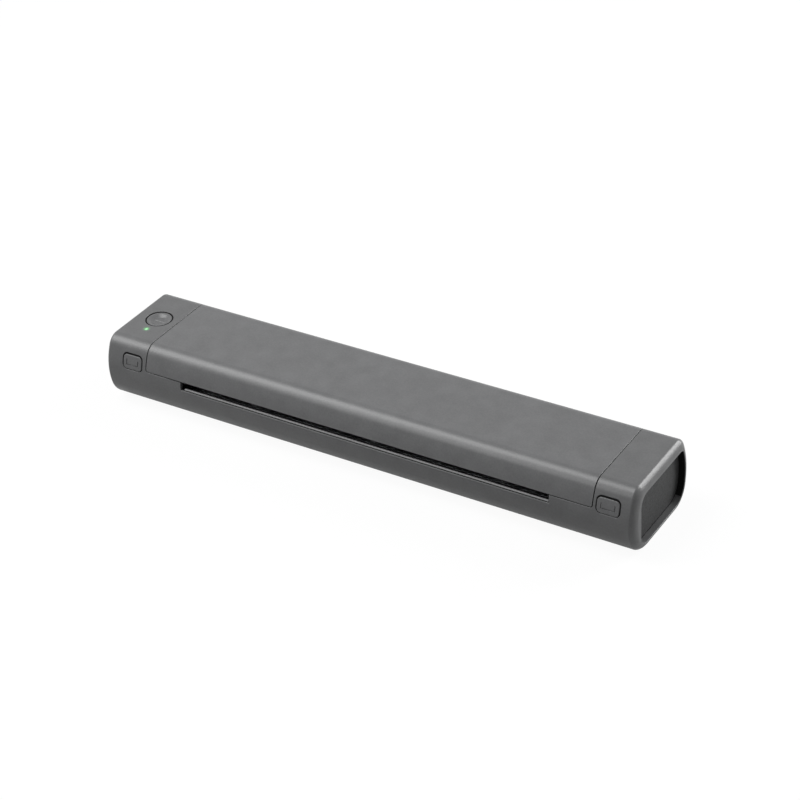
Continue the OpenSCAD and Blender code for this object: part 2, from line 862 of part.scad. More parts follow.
module battery_cells() {
    color("#3b6ea8")
        for (x = [-cell_l - cell_gap / 2, cell_gap / 2]) {
            rod_x(x, x + cell_l, cell_y, cell_z, cell_r);
            rod_x(x + cell_l - e, x + cell_l + terminal_t, cell_y, cell_z, terminal_r);
        }
}

module battery_cradle() {
    color("#2e2f31")
        difference() {
            intersection() {
                block(-cradle_reach, cradle_reach, cell_y - cell_r - 0.9,
                    cell_y + cell_r + 1.4, inner_floor, cell_z - 2);
                along_x(-cradle_reach - 1, cradle_reach + 1) polygon(section(wall + loose));
            }
            rod_x(-cradle_in, cradle_in, cell_y, cell_z, cell_r + 2 * fit);
        }
}

module main_board() {
    color("#1f6b3a")
        difference() {
            block(main_x0, main_x1, main_y0, main_y1, main_z0, main_z1);
            for (x = post_xs, y = post_ys) disc(x, y, 0, far, 0.8);
        }
}

// Places of the packages, from the board's corner
processor = [14, 3];
processor_w = 14;
memory = [34, 4];
memory_w = 8;
driver = [50, 2];
driver_w = 4.2;
driver_pitch = 8;
capacitor_xs = [52, 70];
capacitor_y = 9.4;
capacitor_r = 2.4;
capacitor_h = 4.5;

module package(at, w, d, h) {
    block(main_x0 + at[0], main_x0 + at[0] + w, main_y0 + at[1], main_y0 + at[1] + d,
        main_z1, main_z1 + h);
}

module main_board_chips() {
    color("#202124") {
        package(processor, processor_w, processor_w, 1.6);
        package(memory, memory_w, memory_w, 1.2);
        for (i = [0:4]) package([driver[0] + driver_pitch * i, driver[1]], driver_w, 4, 2);
        for (x = capacitor_xs)
            disc(main_x0 + x, main_y0 + capacitor_y, main_z1, main_z1 + capacitor_h, capacitor_r);
        block(cable_x0 - 1, cable_x1 + 1, cable_y - cable_plug_t / 2, cable_y + cable_plug_t / 2,
            main_z1, main_z1 + cable_plug_h);
    }
}

module head_ribbon_cable() {
    color("#e8e6df")
        block(cable_x0, cable_x1, cable_y - cable_t / 2, cable_y + cable_t / 2,
            main_z1 + cable_plug_h, sink_z0 - 0.25);
}

module io_board() {
    color("#1f6b3a")
        difference() {
            block(io_x0, io_x1, light_y - 2.4, power_y + 10, io_z0, io_z1);
            disc(io_x1 - 2.5, power_y + 7.5, 0, far, 1.1);
        }
}

module usb_c_socket() {
    color("#c3c5c8")
        difference() {
            along_x(-panel_x, usb_l - panel_x)
                translate([usb_y, usb_z]) rounded(usb_w, usb_h, usb_h / 2 - e);
            difference() {
                along_x(-panel_x - 1, usb_l - 1 - panel_x)
                    translate([usb_y, usb_z]) rounded(usb_w - 0.6, usb_h - 0.6, usb_h / 2 - 0.3 - e);
                block(1 - panel_x, usb_l - panel_x, usb_y - 3.3, usb_y + 3.3,
                    usb_z - 0.35, usb_z + 0.35);
            }
        }
}

module power_switch() {
    color("#d8d8d8") {
        block(power_x - 3, power_x + 3, power_y - 3, power_y + 3, io_z1, io_z1 + switch_h);
        disc(power_x, power_y, io_z1 + switch_h - e, io_z1 + switch_h + plunger_h, plunger_r);
    }
}

module status_light() {
    color("#b4e6b9")
        block(power_x - 0.8, power_x + 0.8, light_y - 0.6, light_y + 0.6, io_z1, io_z1 + 0.8);
}

module status_light_pipe() {
    color("#b4e6b9") {
        disc(power_x, light_y, io_z1 + 1, body_h, light_r);
        disc(power_x, light_y, inner_top - 1.2, inner_top - seat, light_r + 0.9);
    }
}

module paper_sensor() {
    color("#1b1b1c") {
        block(sensor_x, sensor_x + sensor_w, sensor_y0, sensor_y1, inlet_z - 3, inlet_z + 0.2);
        block(sensor_x - 1.4, sensor_x + sensor_w + 1.4, sensor_y0, sensor_y1,
            inlet_z - 3, inlet_z - guide_t - seat);
    }
}

// Switch that the cover presses: its body hangs on the right chassis plate.
cover_switch_x = right_plate_x + plate_t;
cover_switch_w = 5;
cover_switch_h = 7.5;
cover_switch_z1 = split_z - 7.5;
cover_plunger_y = platen_y + 5.5;
cover_plunger_z1 = cover_switch_z1 + 1.1;
cover_prod_w = 2;

module cover_switch() {
    x = cover_switch_x;
    color("#2a2a2c") {
        block(x, x + cover_switch_w, cover_plunger_y - 4.5, cover_plunger_y + 4.5,
            cover_switch_z1 - cover_switch_h, cover_switch_z1);
        disc(x + cover_switch_w / 2, cover_plunger_y, cover_switch_z1 - 0.5, cover_plunger_z1, 0.8);
    }
}

module power_button() {
    z0 = io_z1 + switch_h + plunger_h + power_travel + 0.1;
    color("#646567") {
        difference() {
            disc(power_x, power_y, cap_z0, cap_z1, power_r);
            translate([power_x, power_y, cap_z1 + dish_r - dish_depth])
                sphere(r = dish_r, $fn = 96);
        }
        disc(power_x, power_y, z0, cap_z0 + e, stem_r);
    }
}

module power_button_spring() {
    color("silver")
        translate([power_x, power_y, shelf_z + spring_seat])
            helix_spring(2.6, spring_wire, cap_z0 - shelf_z - 2 * spring_seat, 4);
}

// U-shaped groove on the face of a release button
mark_w = 6.4;
mark_h = 3.4;
mark_line = 0.5;
mark_depth = 0.5;
release_sink = 0.15;

module release_button(x) {
    difference() {
        intersection() {
            along_x(x - release_w, x + release_w) polygon(section(release_sink));
            along_y(-far, cap_y) translate([x, release_z]) rounded(release_w, release_h, release_r);
        }
        difference() {
            along_y(-far, mark_depth + release_sink - half_d)
                translate([x, release_z]) rounded(mark_w, mark_h, 0.5);
            along_y(-far, 0)
                translate([x, release_z + mark_line])
                    square([mark_w - 2 * mark_line, mark_h], center = true);
        }
    }
}

module left_release_button() {
    color("#5f6062") release_button(left_release_x);
}

module right_release_button() {
    color("#5f6062") release_button(right_release_x);
}

module latch_slider(x, way) {
    end = way > 0 ? bay_x0 + hook_reach : bay_x1 - hook_reach;
    block(x - slider_w / 2, x + slider_w / 2, cap_y, cap_y + slider_t,
        release_z - slider_h / 2, release_z + slider_h / 2);
    block(min(x, end), max(x, end), hook_y, cap_y + slider_t,
        release_z - hook_h / 2, release_z + hook_h / 2);
}

module left_latch_slider() {
    color("#d9d6cc") latch_slider(left_release_x, 1);
}

module right_latch_slider() {
    color("#d9d6cc") latch_slider(right_release_x, -1);
}

module latch_spring(x) {
    y0 = cap_y + slider_t + spring_seat;
    translate([x, y0, release_z])
        rotate([-90, 0, 0])
            helix_spring(latch_spring_r, spring_wire, web_y - y0 - spring_seat, 5);
}

module left_latch_spring() {
    color("silver") latch_spring(left_release_x);
}

module right_latch_spring() {
    color("silver") latch_spring(right_release_x);
}

module hinge_pins() {
    color("silver") {
        rod_x(bay_x0 - bulkhead_t, arm_x[0] + arm_w + pin_proud, hinge_y, hinge_z, hinge_pin_r);
        rod_x(arm_x[1] - pin_proud, bay_x1 + bulkhead_t, hinge_y, hinge_z, hinge_pin_r);
    }
}

module hinge_arm(x) {
    rod_x(x, x + arm_w, hinge_y, hinge_z, knuckle_r);
    along_x(x, x + arm_w)
        polygon([[hinge_y - knuckle_r, hinge_z], [hinge_y - 12, inner_top + 1],
            [hinge_y - 2.5, inner_top + 1], [hinge_y + 2.6, hinge_z + 1.5], [hinge_y, hinge_z]]);
}

flange = 1.4;
rib_t = 1.6;

module cover_shell() {
    color("#636466")
        difference() {
            union() {
                intersection() {
                    difference() {
                        along_x(cover_x0, cover_x1) polygon(section(0));
                        difference() {
                            along_x(cover_x0 - 1, cover_x1 + 1) polygon(section(wall));
                            cover_end(cover_x0);
                            cover_end(cover_x1 - rib_t);
                        }
                    }
                    cover_space(0);
                }
                for (x = arm_x) hinge_arm(x);
                striker(bay_x0, 1);
                striker(bay_x1, -1);
                switch_prod();
            }
            for (x = arm_x)
                rod_x(x - 1, x + arm_w + 1, hinge_y, hinge_z, hinge_pin_r + fit);
        }
}

module switch_prod() {
    x = cover_switch_x + (cover_switch_w - cover_prod_w) / 2;
    y = cover_plunger_y - cover_prod_w / 2;
    block(x, x + cover_prod_w, y, y + cover_prod_w, cover_plunger_z1 + 0.3, inner_top + 0.5);
}

module cover_end(x) {
    difference() {
        along_x(x, x + rib_t) polygon(section(wall - 0.1));
        along_x(x - 1, x + rib_t + 1) polygon(section(wall + flange));
        block(x - 1, x + rib_t + 1, -far, far, 0, release_z + hook_h / 2 + 1);
    }
}

module striker(x, way) {
    x0 = way > 0 ? x + striker_inset : x - striker_inset - striker_w;
    intersection() {
        block(x0, x0 + striker_w, -half_d, hook_y - striker_gap, split_z + 0.2,
            release_z - hook_h / 2 - 0.2);
        along_x(x0, x0 + striker_w) polygon(section(1));
    }
}

module cover_liner() {
    x0 = left_ear_x;
    x1 = right_ear_x + ear_w;
    color("#2f3032")
        difference() {
            union() {
                block(x0, x1, platen_y - 4.5, hinge_y - 3.5, liner_z0, liner_z1);
                for (x = [left_ear_x, right_ear_x]) platen_ear(x);
                for (i = [0:rib_last]) guide_rib(slot_x0 + 8 + rib_pitch * i);
            }
            rod_x(x0 - 1, x1 + 1, platen_y, platen_z, platen_shaft_r + bush_t + 0.02);
        }
}

module platen_ear(x) {
    r = platen_shaft_r + bush_t + 1.3;
    rod_x(x, x + ear_w, platen_y, platen_z, r);
    block(x, x + ear_w, platen_y - r, platen_y + r, platen_z, liner_z1);
}

module guide_rib(x) {
    along_x(x, x + 1.2)
        polygon([[platen_y + platen_r + 1.6, liner_z1], [platen_y + platen_r + 1.6, inlet_z + 2.4],
            [hinge_y - 9, inlet_z + 1.6], [hinge_y - 5.4, inlet_z + 3.6],
            [hinge_y - 4.6, liner_z1]]);
}

module platen_roller() {
    color("#202021")
        difference() {
            rod_x(platen_x0, platen_x1, platen_y, platen_z, platen_r);
            rod_x(platen_x0 - 1, platen_x1 + 1, platen_y, platen_z, platen_shaft_r + 0.01);
        }
}

module platen_shaft() {
    color("silver")
        rod_x(slow_x0, right_ear_x + ear_w + 0.6, platen_y, platen_z, platen_shaft_r);
}

module platen_gear() {
    color("#e7e4da")
        difference() {
            wheel_x(slow_x0, slow_x0 + slow_w, platen_y, platen_z, slow_module, platen_teeth, 270);
            rod_x(slow_x0 - 1, slow_x0 + slow_w + 1, platen_y, platen_z, platen_shaft_r + 0.01);
        }
}

module platen_bushes() {
    color("#c9c4b4")
        for (x = [left_ear_x, right_ear_x])
            difference() {
                rod_x(x, x + bush_l, platen_y, platen_z, platen_shaft_r + bush_t);
                rod_x(x - 1, x + bush_l + 1, platen_y, platen_z, platen_shaft_r + fit);
            }
}

main_housing();
bottom_cover();
bottom_screws();
rubber_feet();
left_end_panel();
right_end_panel();
tear_bar();
lower_paper_guide();
left_chassis_plate();
right_chassis_plate();
chassis_frame();
print_head_heat_sink();
print_head_ceramic();
head_pivot_pin();
head_springs();
stepper_motor();
motor_screws();
motor_shaft();
motor_pinion();
compound_gear();
compound_gear_axle();
battery_cells();
battery_cradle();
main_board();
main_board_chips();
head_ribbon_cable();
io_board();
usb_c_socket();
power_switch();
status_light();
status_light_pipe();
paper_sensor();
cover_switch();
power_button();
power_button_spring();
left_release_button();
right_release_button();
left_latch_slider();
right_latch_slider();
left_latch_spring();
right_latch_spring();
hinge_pins();
cover_shell();
cover_liner();
platen_roller();
platen_shaft();
platen_gear();
platen_bushes();
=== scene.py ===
"""Looks of a portable A4 thermal printer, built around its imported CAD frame.

Lengths are in metres, in the row frame: X left to right, Y to the rear, Z up.
"""

import json
import logging
import math
from dataclasses import dataclass
from enum import Enum
from typing import Sequence

import bmesh
import bpy
import numpy as np
from mathutils import Matrix, Vector
from mathutils.geometry import delaunay_2d_cdt

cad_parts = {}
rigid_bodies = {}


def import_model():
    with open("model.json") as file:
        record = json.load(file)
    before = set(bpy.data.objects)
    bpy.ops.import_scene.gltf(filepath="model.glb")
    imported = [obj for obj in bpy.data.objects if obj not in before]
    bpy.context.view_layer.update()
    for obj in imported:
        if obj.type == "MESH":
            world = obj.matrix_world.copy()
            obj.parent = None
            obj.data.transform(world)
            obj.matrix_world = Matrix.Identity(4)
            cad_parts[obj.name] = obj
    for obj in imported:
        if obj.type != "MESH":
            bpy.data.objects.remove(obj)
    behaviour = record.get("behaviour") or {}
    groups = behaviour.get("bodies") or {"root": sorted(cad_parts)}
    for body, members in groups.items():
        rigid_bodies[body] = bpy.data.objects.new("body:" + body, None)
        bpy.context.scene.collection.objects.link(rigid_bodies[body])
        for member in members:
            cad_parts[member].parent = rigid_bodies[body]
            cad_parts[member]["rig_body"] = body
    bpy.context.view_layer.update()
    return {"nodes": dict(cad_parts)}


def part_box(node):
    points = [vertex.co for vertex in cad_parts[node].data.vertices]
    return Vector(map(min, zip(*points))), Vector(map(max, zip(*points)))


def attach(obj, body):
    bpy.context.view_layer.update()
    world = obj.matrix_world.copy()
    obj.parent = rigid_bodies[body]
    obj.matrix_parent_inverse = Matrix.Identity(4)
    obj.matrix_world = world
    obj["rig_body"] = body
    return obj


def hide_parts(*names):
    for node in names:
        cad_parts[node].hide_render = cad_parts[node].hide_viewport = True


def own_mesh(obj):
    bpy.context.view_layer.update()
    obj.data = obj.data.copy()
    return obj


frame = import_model()

MM = 0.001
HALF_TURN = math.pi
QUARTER_TURN = math.pi / 2
STATUS_LIGHT_RADIUS = 1 * MM
WHITE = (1.0, 1.0, 1.0)
ARC_SAMPLES = 121
EDGE_SAMPLES = 2000
BORDER_SAMPLES = 1600
log = logging.getLogger("printer")

Loop = np.ndarray


class Axis(Enum):
    """The axis that a piece is drawn out along, turned round or brushed along."""

    X = 0
    Y = 1
    Z = 2

    def flat_order(self) -> tuple[int, int, int]:
        """The other two axes in their own order, then this one."""
        return {Axis.X: (1, 2, 0), Axis.Y: (0, 2, 1), Axis.Z: (0, 1, 2)}[self]

    def turn_order(self) -> tuple[int, int, int]:
        """The other two axes in the order that turns round this one, then this one."""
        return {Axis.X: (1, 2, 0), Axis.Y: (2, 0, 1), Axis.Z: (0, 1, 2)}[self]


# --- Shader kit ---------------------------------------------------------------


class Value:
    """A socket whose arithmetic adds Math nodes to its material or world."""

    def __init__(self, nodes: "NodeKit", socket: bpy.types.NodeSocket) -> None:
        """Wraps one output socket.

        Args:
            socket: The output socket.
        """
        self.nodes = nodes
        self.socket = socket

    def _math(self, operation: str, first: object, second: object) -> "Value":
        """Adds one Math node.

        Args:
            operation: Blender's name for the operation.
            first: A number or a Value.
            second: A number or a Value.

        Returns:
            The node's result.
        """
        return self.nodes.add("ShaderNodeMath", {"operation": operation}, {0: first, 1: second})

    def __add__(self, other: object) -> "Value":
        """Sum."""
        return self._math("ADD", self, other)

    __radd__ = __add__

    def __sub__(self, other: object) -> "Value":
        """Difference."""
        return self._math("SUBTRACT", self, other)

    def __rsub__(self, other: object) -> "Value":
        """Difference with this value taken away."""
        return self._math("SUBTRACT", other, self)

    def __mul__(self, other: object) -> "Value":
        """Product."""
        return self._math("MULTIPLY", self, other)

    __rmul__ = __mul__

    def __truediv__(self, other: object) -> "Value":
        """Quotient."""
        return self._math("DIVIDE", self, other)

    def __pow__(self, other: object) -> "Value":
        """Power."""
        return self._math("POWER", self, other)

    def above(self, limit: float) -> "Value":
        """1 where this value is over the limit, 0 elsewhere."""
        return self._math("GREATER_THAN", self, limit)


class NodeKit:
    """Adds nodes to one material or world and wires them."""

    def __init__(self, owner: bpy.types.Material | bpy.types.World) -> None:
        """Turns on the owner's nodes.

        Args:
            owner: The material or world.
        """
        owner.use_nodes = True
        self.tree = owner.node_tree

    def add(
        self,
        kind: str,
        settings: dict[str, object] | None = None,
        inputs: dict[object, object] | None = None,
        output: int | str = 0,
    ) -> Value:
        """Adds a node of any type.

        Args:
            kind: The node's type.
            settings: Its settings, set first. "stops" sets a colour ramp's positions and greys.
            inputs: Values or links of its sockets, by name or number.
            output: The socket to give back.

        Returns:
            The chosen output.
        """
        node = self.tree.nodes.new(kind)
        for name, value in (settings or {}).items():
            if name == "stops":
                self._set_stops(node.color_ramp, value)
            else:
                setattr(node, name, value)
        for name, value in (inputs or {}).items():
            self.feed(node.inputs[name], value)
        return Value(self, node.outputs[output])

    def _set_stops(self, ramp: bpy.types.ColorRamp, stops: Sequence[tuple[float, float]]) -> None:
        """Sets a ramp to greys at the given positions.

        Args:
            ramp: The colour ramp.
            stops: Pairs of position and grey.
        """
        while len(ramp.elements) < len(stops):
            ramp.elements.new(0.5)
        for element, (position, grey) in zip(ramp.elements, stops):
            element.position = position
            element.color = (grey, grey, grey, 1)

    def feed(self, socket: bpy.types.NodeSocket, value: object) -> None:
        """Links a Value to an input, or sets the input to a constant.

        Args:
            socket: The input.
            value: A Value, a number or a tuple.
        """
        if isinstance(value, Value):
            self.tree.links.new(value.socket, socket)
        else:
            socket.default_value = value

    def place(self, stretch: tuple[float, float, float] = (1, 1, 1)) -> Value:
        """The place on the object, in metres, stretched along its axes.

        Args:
            stretch: Factors along X, Y and Z.

        Returns:
            The place as a vector.
        """
        where = self.add("ShaderNodeTexCoord", output="Object")
        if stretch == (1, 1, 1):
            return where
        settings = {"operation": "MULTIPLY"}
        return self.add("ShaderNodeVectorMath", settings, {0: where, 1: stretch})

    def noise(self, where: Value, size: float, detail: float = 2, roughness: float = 0.5) -> Value:
        """Noise whose blobs are about the given size.

        Args:
            where: The place on the object.
            size: The size of a blob, in metres.
            detail: How many finer layers it has.
            roughness: How strong those are.

        Returns:
            The noise, about 0.5.
        """
        inputs = {"Vector": where, "Scale": 1 / size, "Detail": detail, "Roughness": roughness}
        return self.add("ShaderNodeTexNoise", {}, inputs)

    def mix(self, share: object, first: object, second: object) -> Value:
        """Mixes two colours.

        Args:
            share: 0 for the first, 1 for the second.
            first: A colour or a Value.
            second: A colour or a Value.

        Returns:
            The mixed colour.
        """
        node = self.add("ShaderNodeMix", {"data_type": "RGBA"}, {"Factor": share}, output=2)
        inputs = node.socket.node.inputs
        self.feed(inputs[6], first)
        self.feed(inputs[7], second)
        return node

    def bump(self, height: Value, depth: float) -> Value:
        """A normal from a height.

        Args:
            height: Height from 0 to 1.
            depth: What 1 stands for, in metres.

        Returns:
            The bumped normal.
        """
        inputs = {"Strength": 1.0, "Distance": depth, "Height": height}
        return self.add("ShaderNodeBump", {}, inputs, output="Normal")


class MaterialKit(NodeKit):
    """The nodes of one material, with its Principled shader."""

    def __init__(self, name: str) -> None:
        """Makes the material.

        Args:
            name: The material's name.
        """
        self.material = bpy.data.materials.new(name)
        super().__init__(self.material)
        self.shader = self.tree.nodes["Principled BSDF"]

    def set(self, **inputs: object) -> None:
        """Feeds the shader's inputs: Base_Color=... feeds Base Color."""
        for name, value in inputs.items():
            self.feed(self.shader.inputs[name.replace("_", " ")], value)


def rgba(colour: tuple[float, float, float], factor: float = 1.0) -> tuple[float, ...]:
    """A linear colour with its alpha.

    Args:
        colour: Red, green and blue.
        factor: What they are multiplied by.

    Returns:
        The four numbers.
    """
    return tuple(min(1.0, part * factor) for part in colour) + (1.0,)


# --- Finishes -----------------------------------------------------------------


@dataclass(frozen=True)
class MouldedPlastic:
    """Plastic with the fine grain of its mould and a faint mottle."""

    name: str
    colour: tuple[float, float, float]
    roughness: float = 0.45
    mottle: float = 0.45
    mottle_size: float = 9 * MM
    grain_size: float = 0.32 * MM
    grain_depth: float = 0.006 * MM
    specular: float = 0.5
    speckle: float = 0.5
    speckle_factor: float = 2.6
    gloss: tuple[float, float, float] = (-0.05, 0.06, 0.04)

    def material(self) -> bpy.types.Material:
        """Builds the finish."""
        return self.kit().material

    def kit(self) -> MaterialKit:
        """Wires the plastic, to be added to."""
        kit = MaterialKit(self.name)
        where = kit.place()
        broad = kit.noise(where, self.mottle_size, 3)
        grain = kit.noise(where, self.grain_size, 3, 0.6)
        fine = kit.noise(where, self.grain_size * self.speckle_factor, 2)
        shade = broad * (1 - self.speckle) + fine * self.speckle
        dark, light = rgba(self.colour, 1 - self.mottle), rgba(self.colour, 1 + self.mottle)
        kit.set(
            Base_Color=kit.mix(shade, dark, light),
            Roughness=self.roughness + self.gloss[0] + broad * self.gloss[1] + grain * self.gloss[2],
            Specular_IOR_Level=self.specular,
            Normal=kit.bump(grain, self.grain_depth),
        )
        return kit


@dataclass(frozen=True)
class HousingPlastic(MouldedPlastic):
    """The housing's plastic, with the glow that the status light throws around itself."""

    light_at: tuple[float, float, float] = (0, 0, 0)
    light_radius: float = 1 * MM
    glow_reach: float = 2.6 * MM
    glow: tuple[float, float, float] = (0.05, 0.26, 0.07)

    def material(self) -> bpy.types.Material:
        """Builds the finish."""
        kit = self.kit()
        settings = {"operation": "DISTANCE"}
        far = kit.add("ShaderNodeVectorMath", settings, {0: kit.place(), 1: self.light_at}, "Value")
        near = 1 - (far - self.light_radius) / (self.glow_reach - self.light_radius)
        halo = kit.add("ShaderNodeClamp", {}, {"Value": near}) ** 2
        kit.set(
            Emission_Color=kit.mix(halo, (0, 0, 0, 1), rgba(self.glow)),
            Emission_Strength=1.0,
        )
        return kit.material


@dataclass(frozen=True)
class Rubber(MouldedPlastic):
    """Matte rubber with a coarser grain."""

    roughness: float = 0.82
    grain_size: float = 0.5 * MM
    grain_depth: float = 0.02 * MM
    specular: float = 0.3


@dataclass(frozen=True)
class Metal:
    """Metal that is brushed, drawn or rolled along one axis."""

    name: str
    colour: tuple[float, float, float]
    roughness: float = 0.3
    along: Axis = Axis.X
    line_size: float = 0.12 * MM
    line_depth: float = 0.004 * MM
    stretch: float = 0.03

    def material(self) -> bpy.types.Material:
        """Builds the finish."""
        kit = MaterialKit(self.name)
        factors = [1.0, 1.0, 1.0]
        factors[self.along.value] = self.stretch
        lines = kit.noise(kit.place(tuple(factors)), self.line_size, 3, 0.6)
        cloud = kit.noise(kit.place(), 9 * MM, 3)
        kit.set(
            Base_Color=kit.mix(cloud, rgba(self.colour, 0.86), rgba(self.colour, 1.05)),
            Metallic=1.0,
            Roughness=self.roughness - 0.06 + lines * 0.08 + cloud * 0.05,
            Normal=kit.bump(lines, self.line_depth),
        )
        return kit.material


@dataclass(frozen=True)
class Glaze:
    """Fired ceramic under a thin glaze."""

    name: str
    colour: tuple[float, float, float]

    def material(self) -> bpy.types.Material:
        """Builds the finish."""
        kit = MaterialKit(self.name)
        cloud = kit.noise(kit.place(), 6 * MM, 3)
        specks = kit.noise(kit.place(), 0.4 * MM, 2).above(0.68)
        base = kit.mix(cloud, rgba(self.colour, 0.93), rgba(self.colour, 1.02))
        kit.set(
            Base_Color=kit.mix(specks * 0.25, base, rgba(self.colour, 0.6)),
            Roughness=0.22 + cloud * 0.1,
            Coat_Weight=0.4,
            Normal=kit.bump(cloud, 0.01 * MM),
        )
        return kit.material


@dataclass(frozen=True)
class Board:
    """Circuit board under its green mask, with copper tracks showing through."""

    name: str
    mask: tuple[float, float, float]
    track: tuple[float, float, float]
    pitch: float = 1.1 * MM

    def material(self) -> bpy.types.Material:
        """Builds the finish."""
        kit = MaterialKit(self.name)
        where = kit.place()
        bands = {"bands_direction": "X", "wave_profile": "SIN"}
        inputs = {"Vector": where, "Scale": 0.05 / self.pitch, "Distortion": 6.0, "Detail": 1.0}
        tracks = kit.add("ShaderNodeTexWave", bands, inputs, "Fac").above(0.62)
        patch = kit.noise(where, 9 * MM, 1).above(0.47)
        copper = tracks * patch
        cloud = kit.noise(where, 4 * MM, 2)
        green = kit.mix(cloud, rgba(self.mask, 0.85), rgba(self.mask, 1.1))
        kit.set(
            Base_Color=kit.mix(copper * 0.8, green, rgba(self.track)),
            Roughness=0.32 + cloud * 0.08,
            Normal=kit.bump(copper, 0.03 * MM),
        )
        return kit.material


@dataclass(frozen=True)
class Wrap:
    """Shrink sleeve of a cell, with creases across it."""

    name: str
    colour: tuple[float, float, float]

    def material(self) -> bpy.types.Material:
        """Builds the finish."""
        kit = MaterialKit(self.name)
        crease = kit.noise(kit.place((1, 0.25, 0.25)), 1.6 * MM, 3, 0.6)
        cloud = kit.noise(kit.place(), 12 * MM, 2)
        kit.set(
            Base_Color=kit.mix(cloud, rgba(self.colour, 0.8), rgba(self.colour, 1.15)),
            Roughness=0.28 + crease * 0.12,
            Coat_Weight=0.3,
            Normal=kit.bump(crease, 0.05 * MM),
        )
        return kit.material


@dataclass(frozen=True)
class Ribbon:
    """Flat cable with its leads showing through."""

    name: str
    colour: tuple[float, float, float]
    lead: tuple[float, float, float]
    pitch: float = 1.0 * MM

    def material(self) -> bpy.types.Material:
        """Builds the finish."""
        kit = MaterialKit(self.name)
        bands = {"bands_direction": "X", "wave_profile": "SIN"}
        inputs = {"Vector": kit.place(), "Scale": HALF_TURN / 10 / self.pitch}
        leads = kit.add("ShaderNodeTexWave", bands, inputs, "Fac")
        stripe = leads.above(0.5)
        kit.set(
            Base_Color=kit.mix(stripe * 0.6, rgba(self.colour), rgba(self.lead)),
            Roughness=0.4 + stripe * 0.05,
            Normal=kit.bump(leads, 0.05 * MM),
        )
        return kit.material


@dataclass(frozen=True)
class LightPipe:
    """Clear pipe lit from below: its core is brighter than its rim."""

    name: str
    core: tuple[float, float, float]
    rim: tuple[float, float, float]
    at: tuple[float, float, float]
    radius: float
    strength: float = 1.0

    def material(self) -> bpy.types.Material:
        """Builds the finish."""
        kit = MaterialKit(self.name)
        flat = kit.place((1, 1, 0))
        middle = (self.at[0], self.at[1], 0)
        settings = {"operation": "DISTANCE"}
        far = kit.add("ShaderNodeVectorMath", settings, {0: flat, 1: middle}, "Value")
        share = kit.add("ShaderNodeClamp", {}, {"Value": far / self.radius}) ** 2
        kit.set(
            Base_Color=kit.mix(share, rgba(self.core, 0.2), rgba(self.rim, 0.4)),
            Emission_Color=kit.mix(share, rgba(self.core), rgba(self.rim)),
            Emission_Strength=self.strength,
            Roughness=0.2 + share * 0.1,
        )
        return kit.material


# --- Mesh kit -----------------------------------------------------------------


def finish_mesh(
    name: str,
    points: np.ndarray,
    faces: list[Sequence[int]],
    corner_normals: np.ndarray | None = None,
) -> bpy.types.Object:
    """Makes an object from points and faces.

    Args:
        name: The piece's name.
        points: Its points.
        faces: Its faces, as indexes of points.
        corner_normals: One normal for each corner of each face, in order.

    Returns:
        The object, in the scene.
    """
    mesh = bpy.data.meshes.new(name)
    mesh.from_pydata(points.tolist(), [], faces)
    mesh.polygons.foreach_set("use_smooth", [True] * len(mesh.polygons))
    mesh.update()
    if corner_normals is not None:
        mesh.normals_split_custom_set(corner_normals.tolist())
    made = bpy.data.objects.new(name, mesh)
    bpy.context.scene.collection.objects.link(made)
    return made


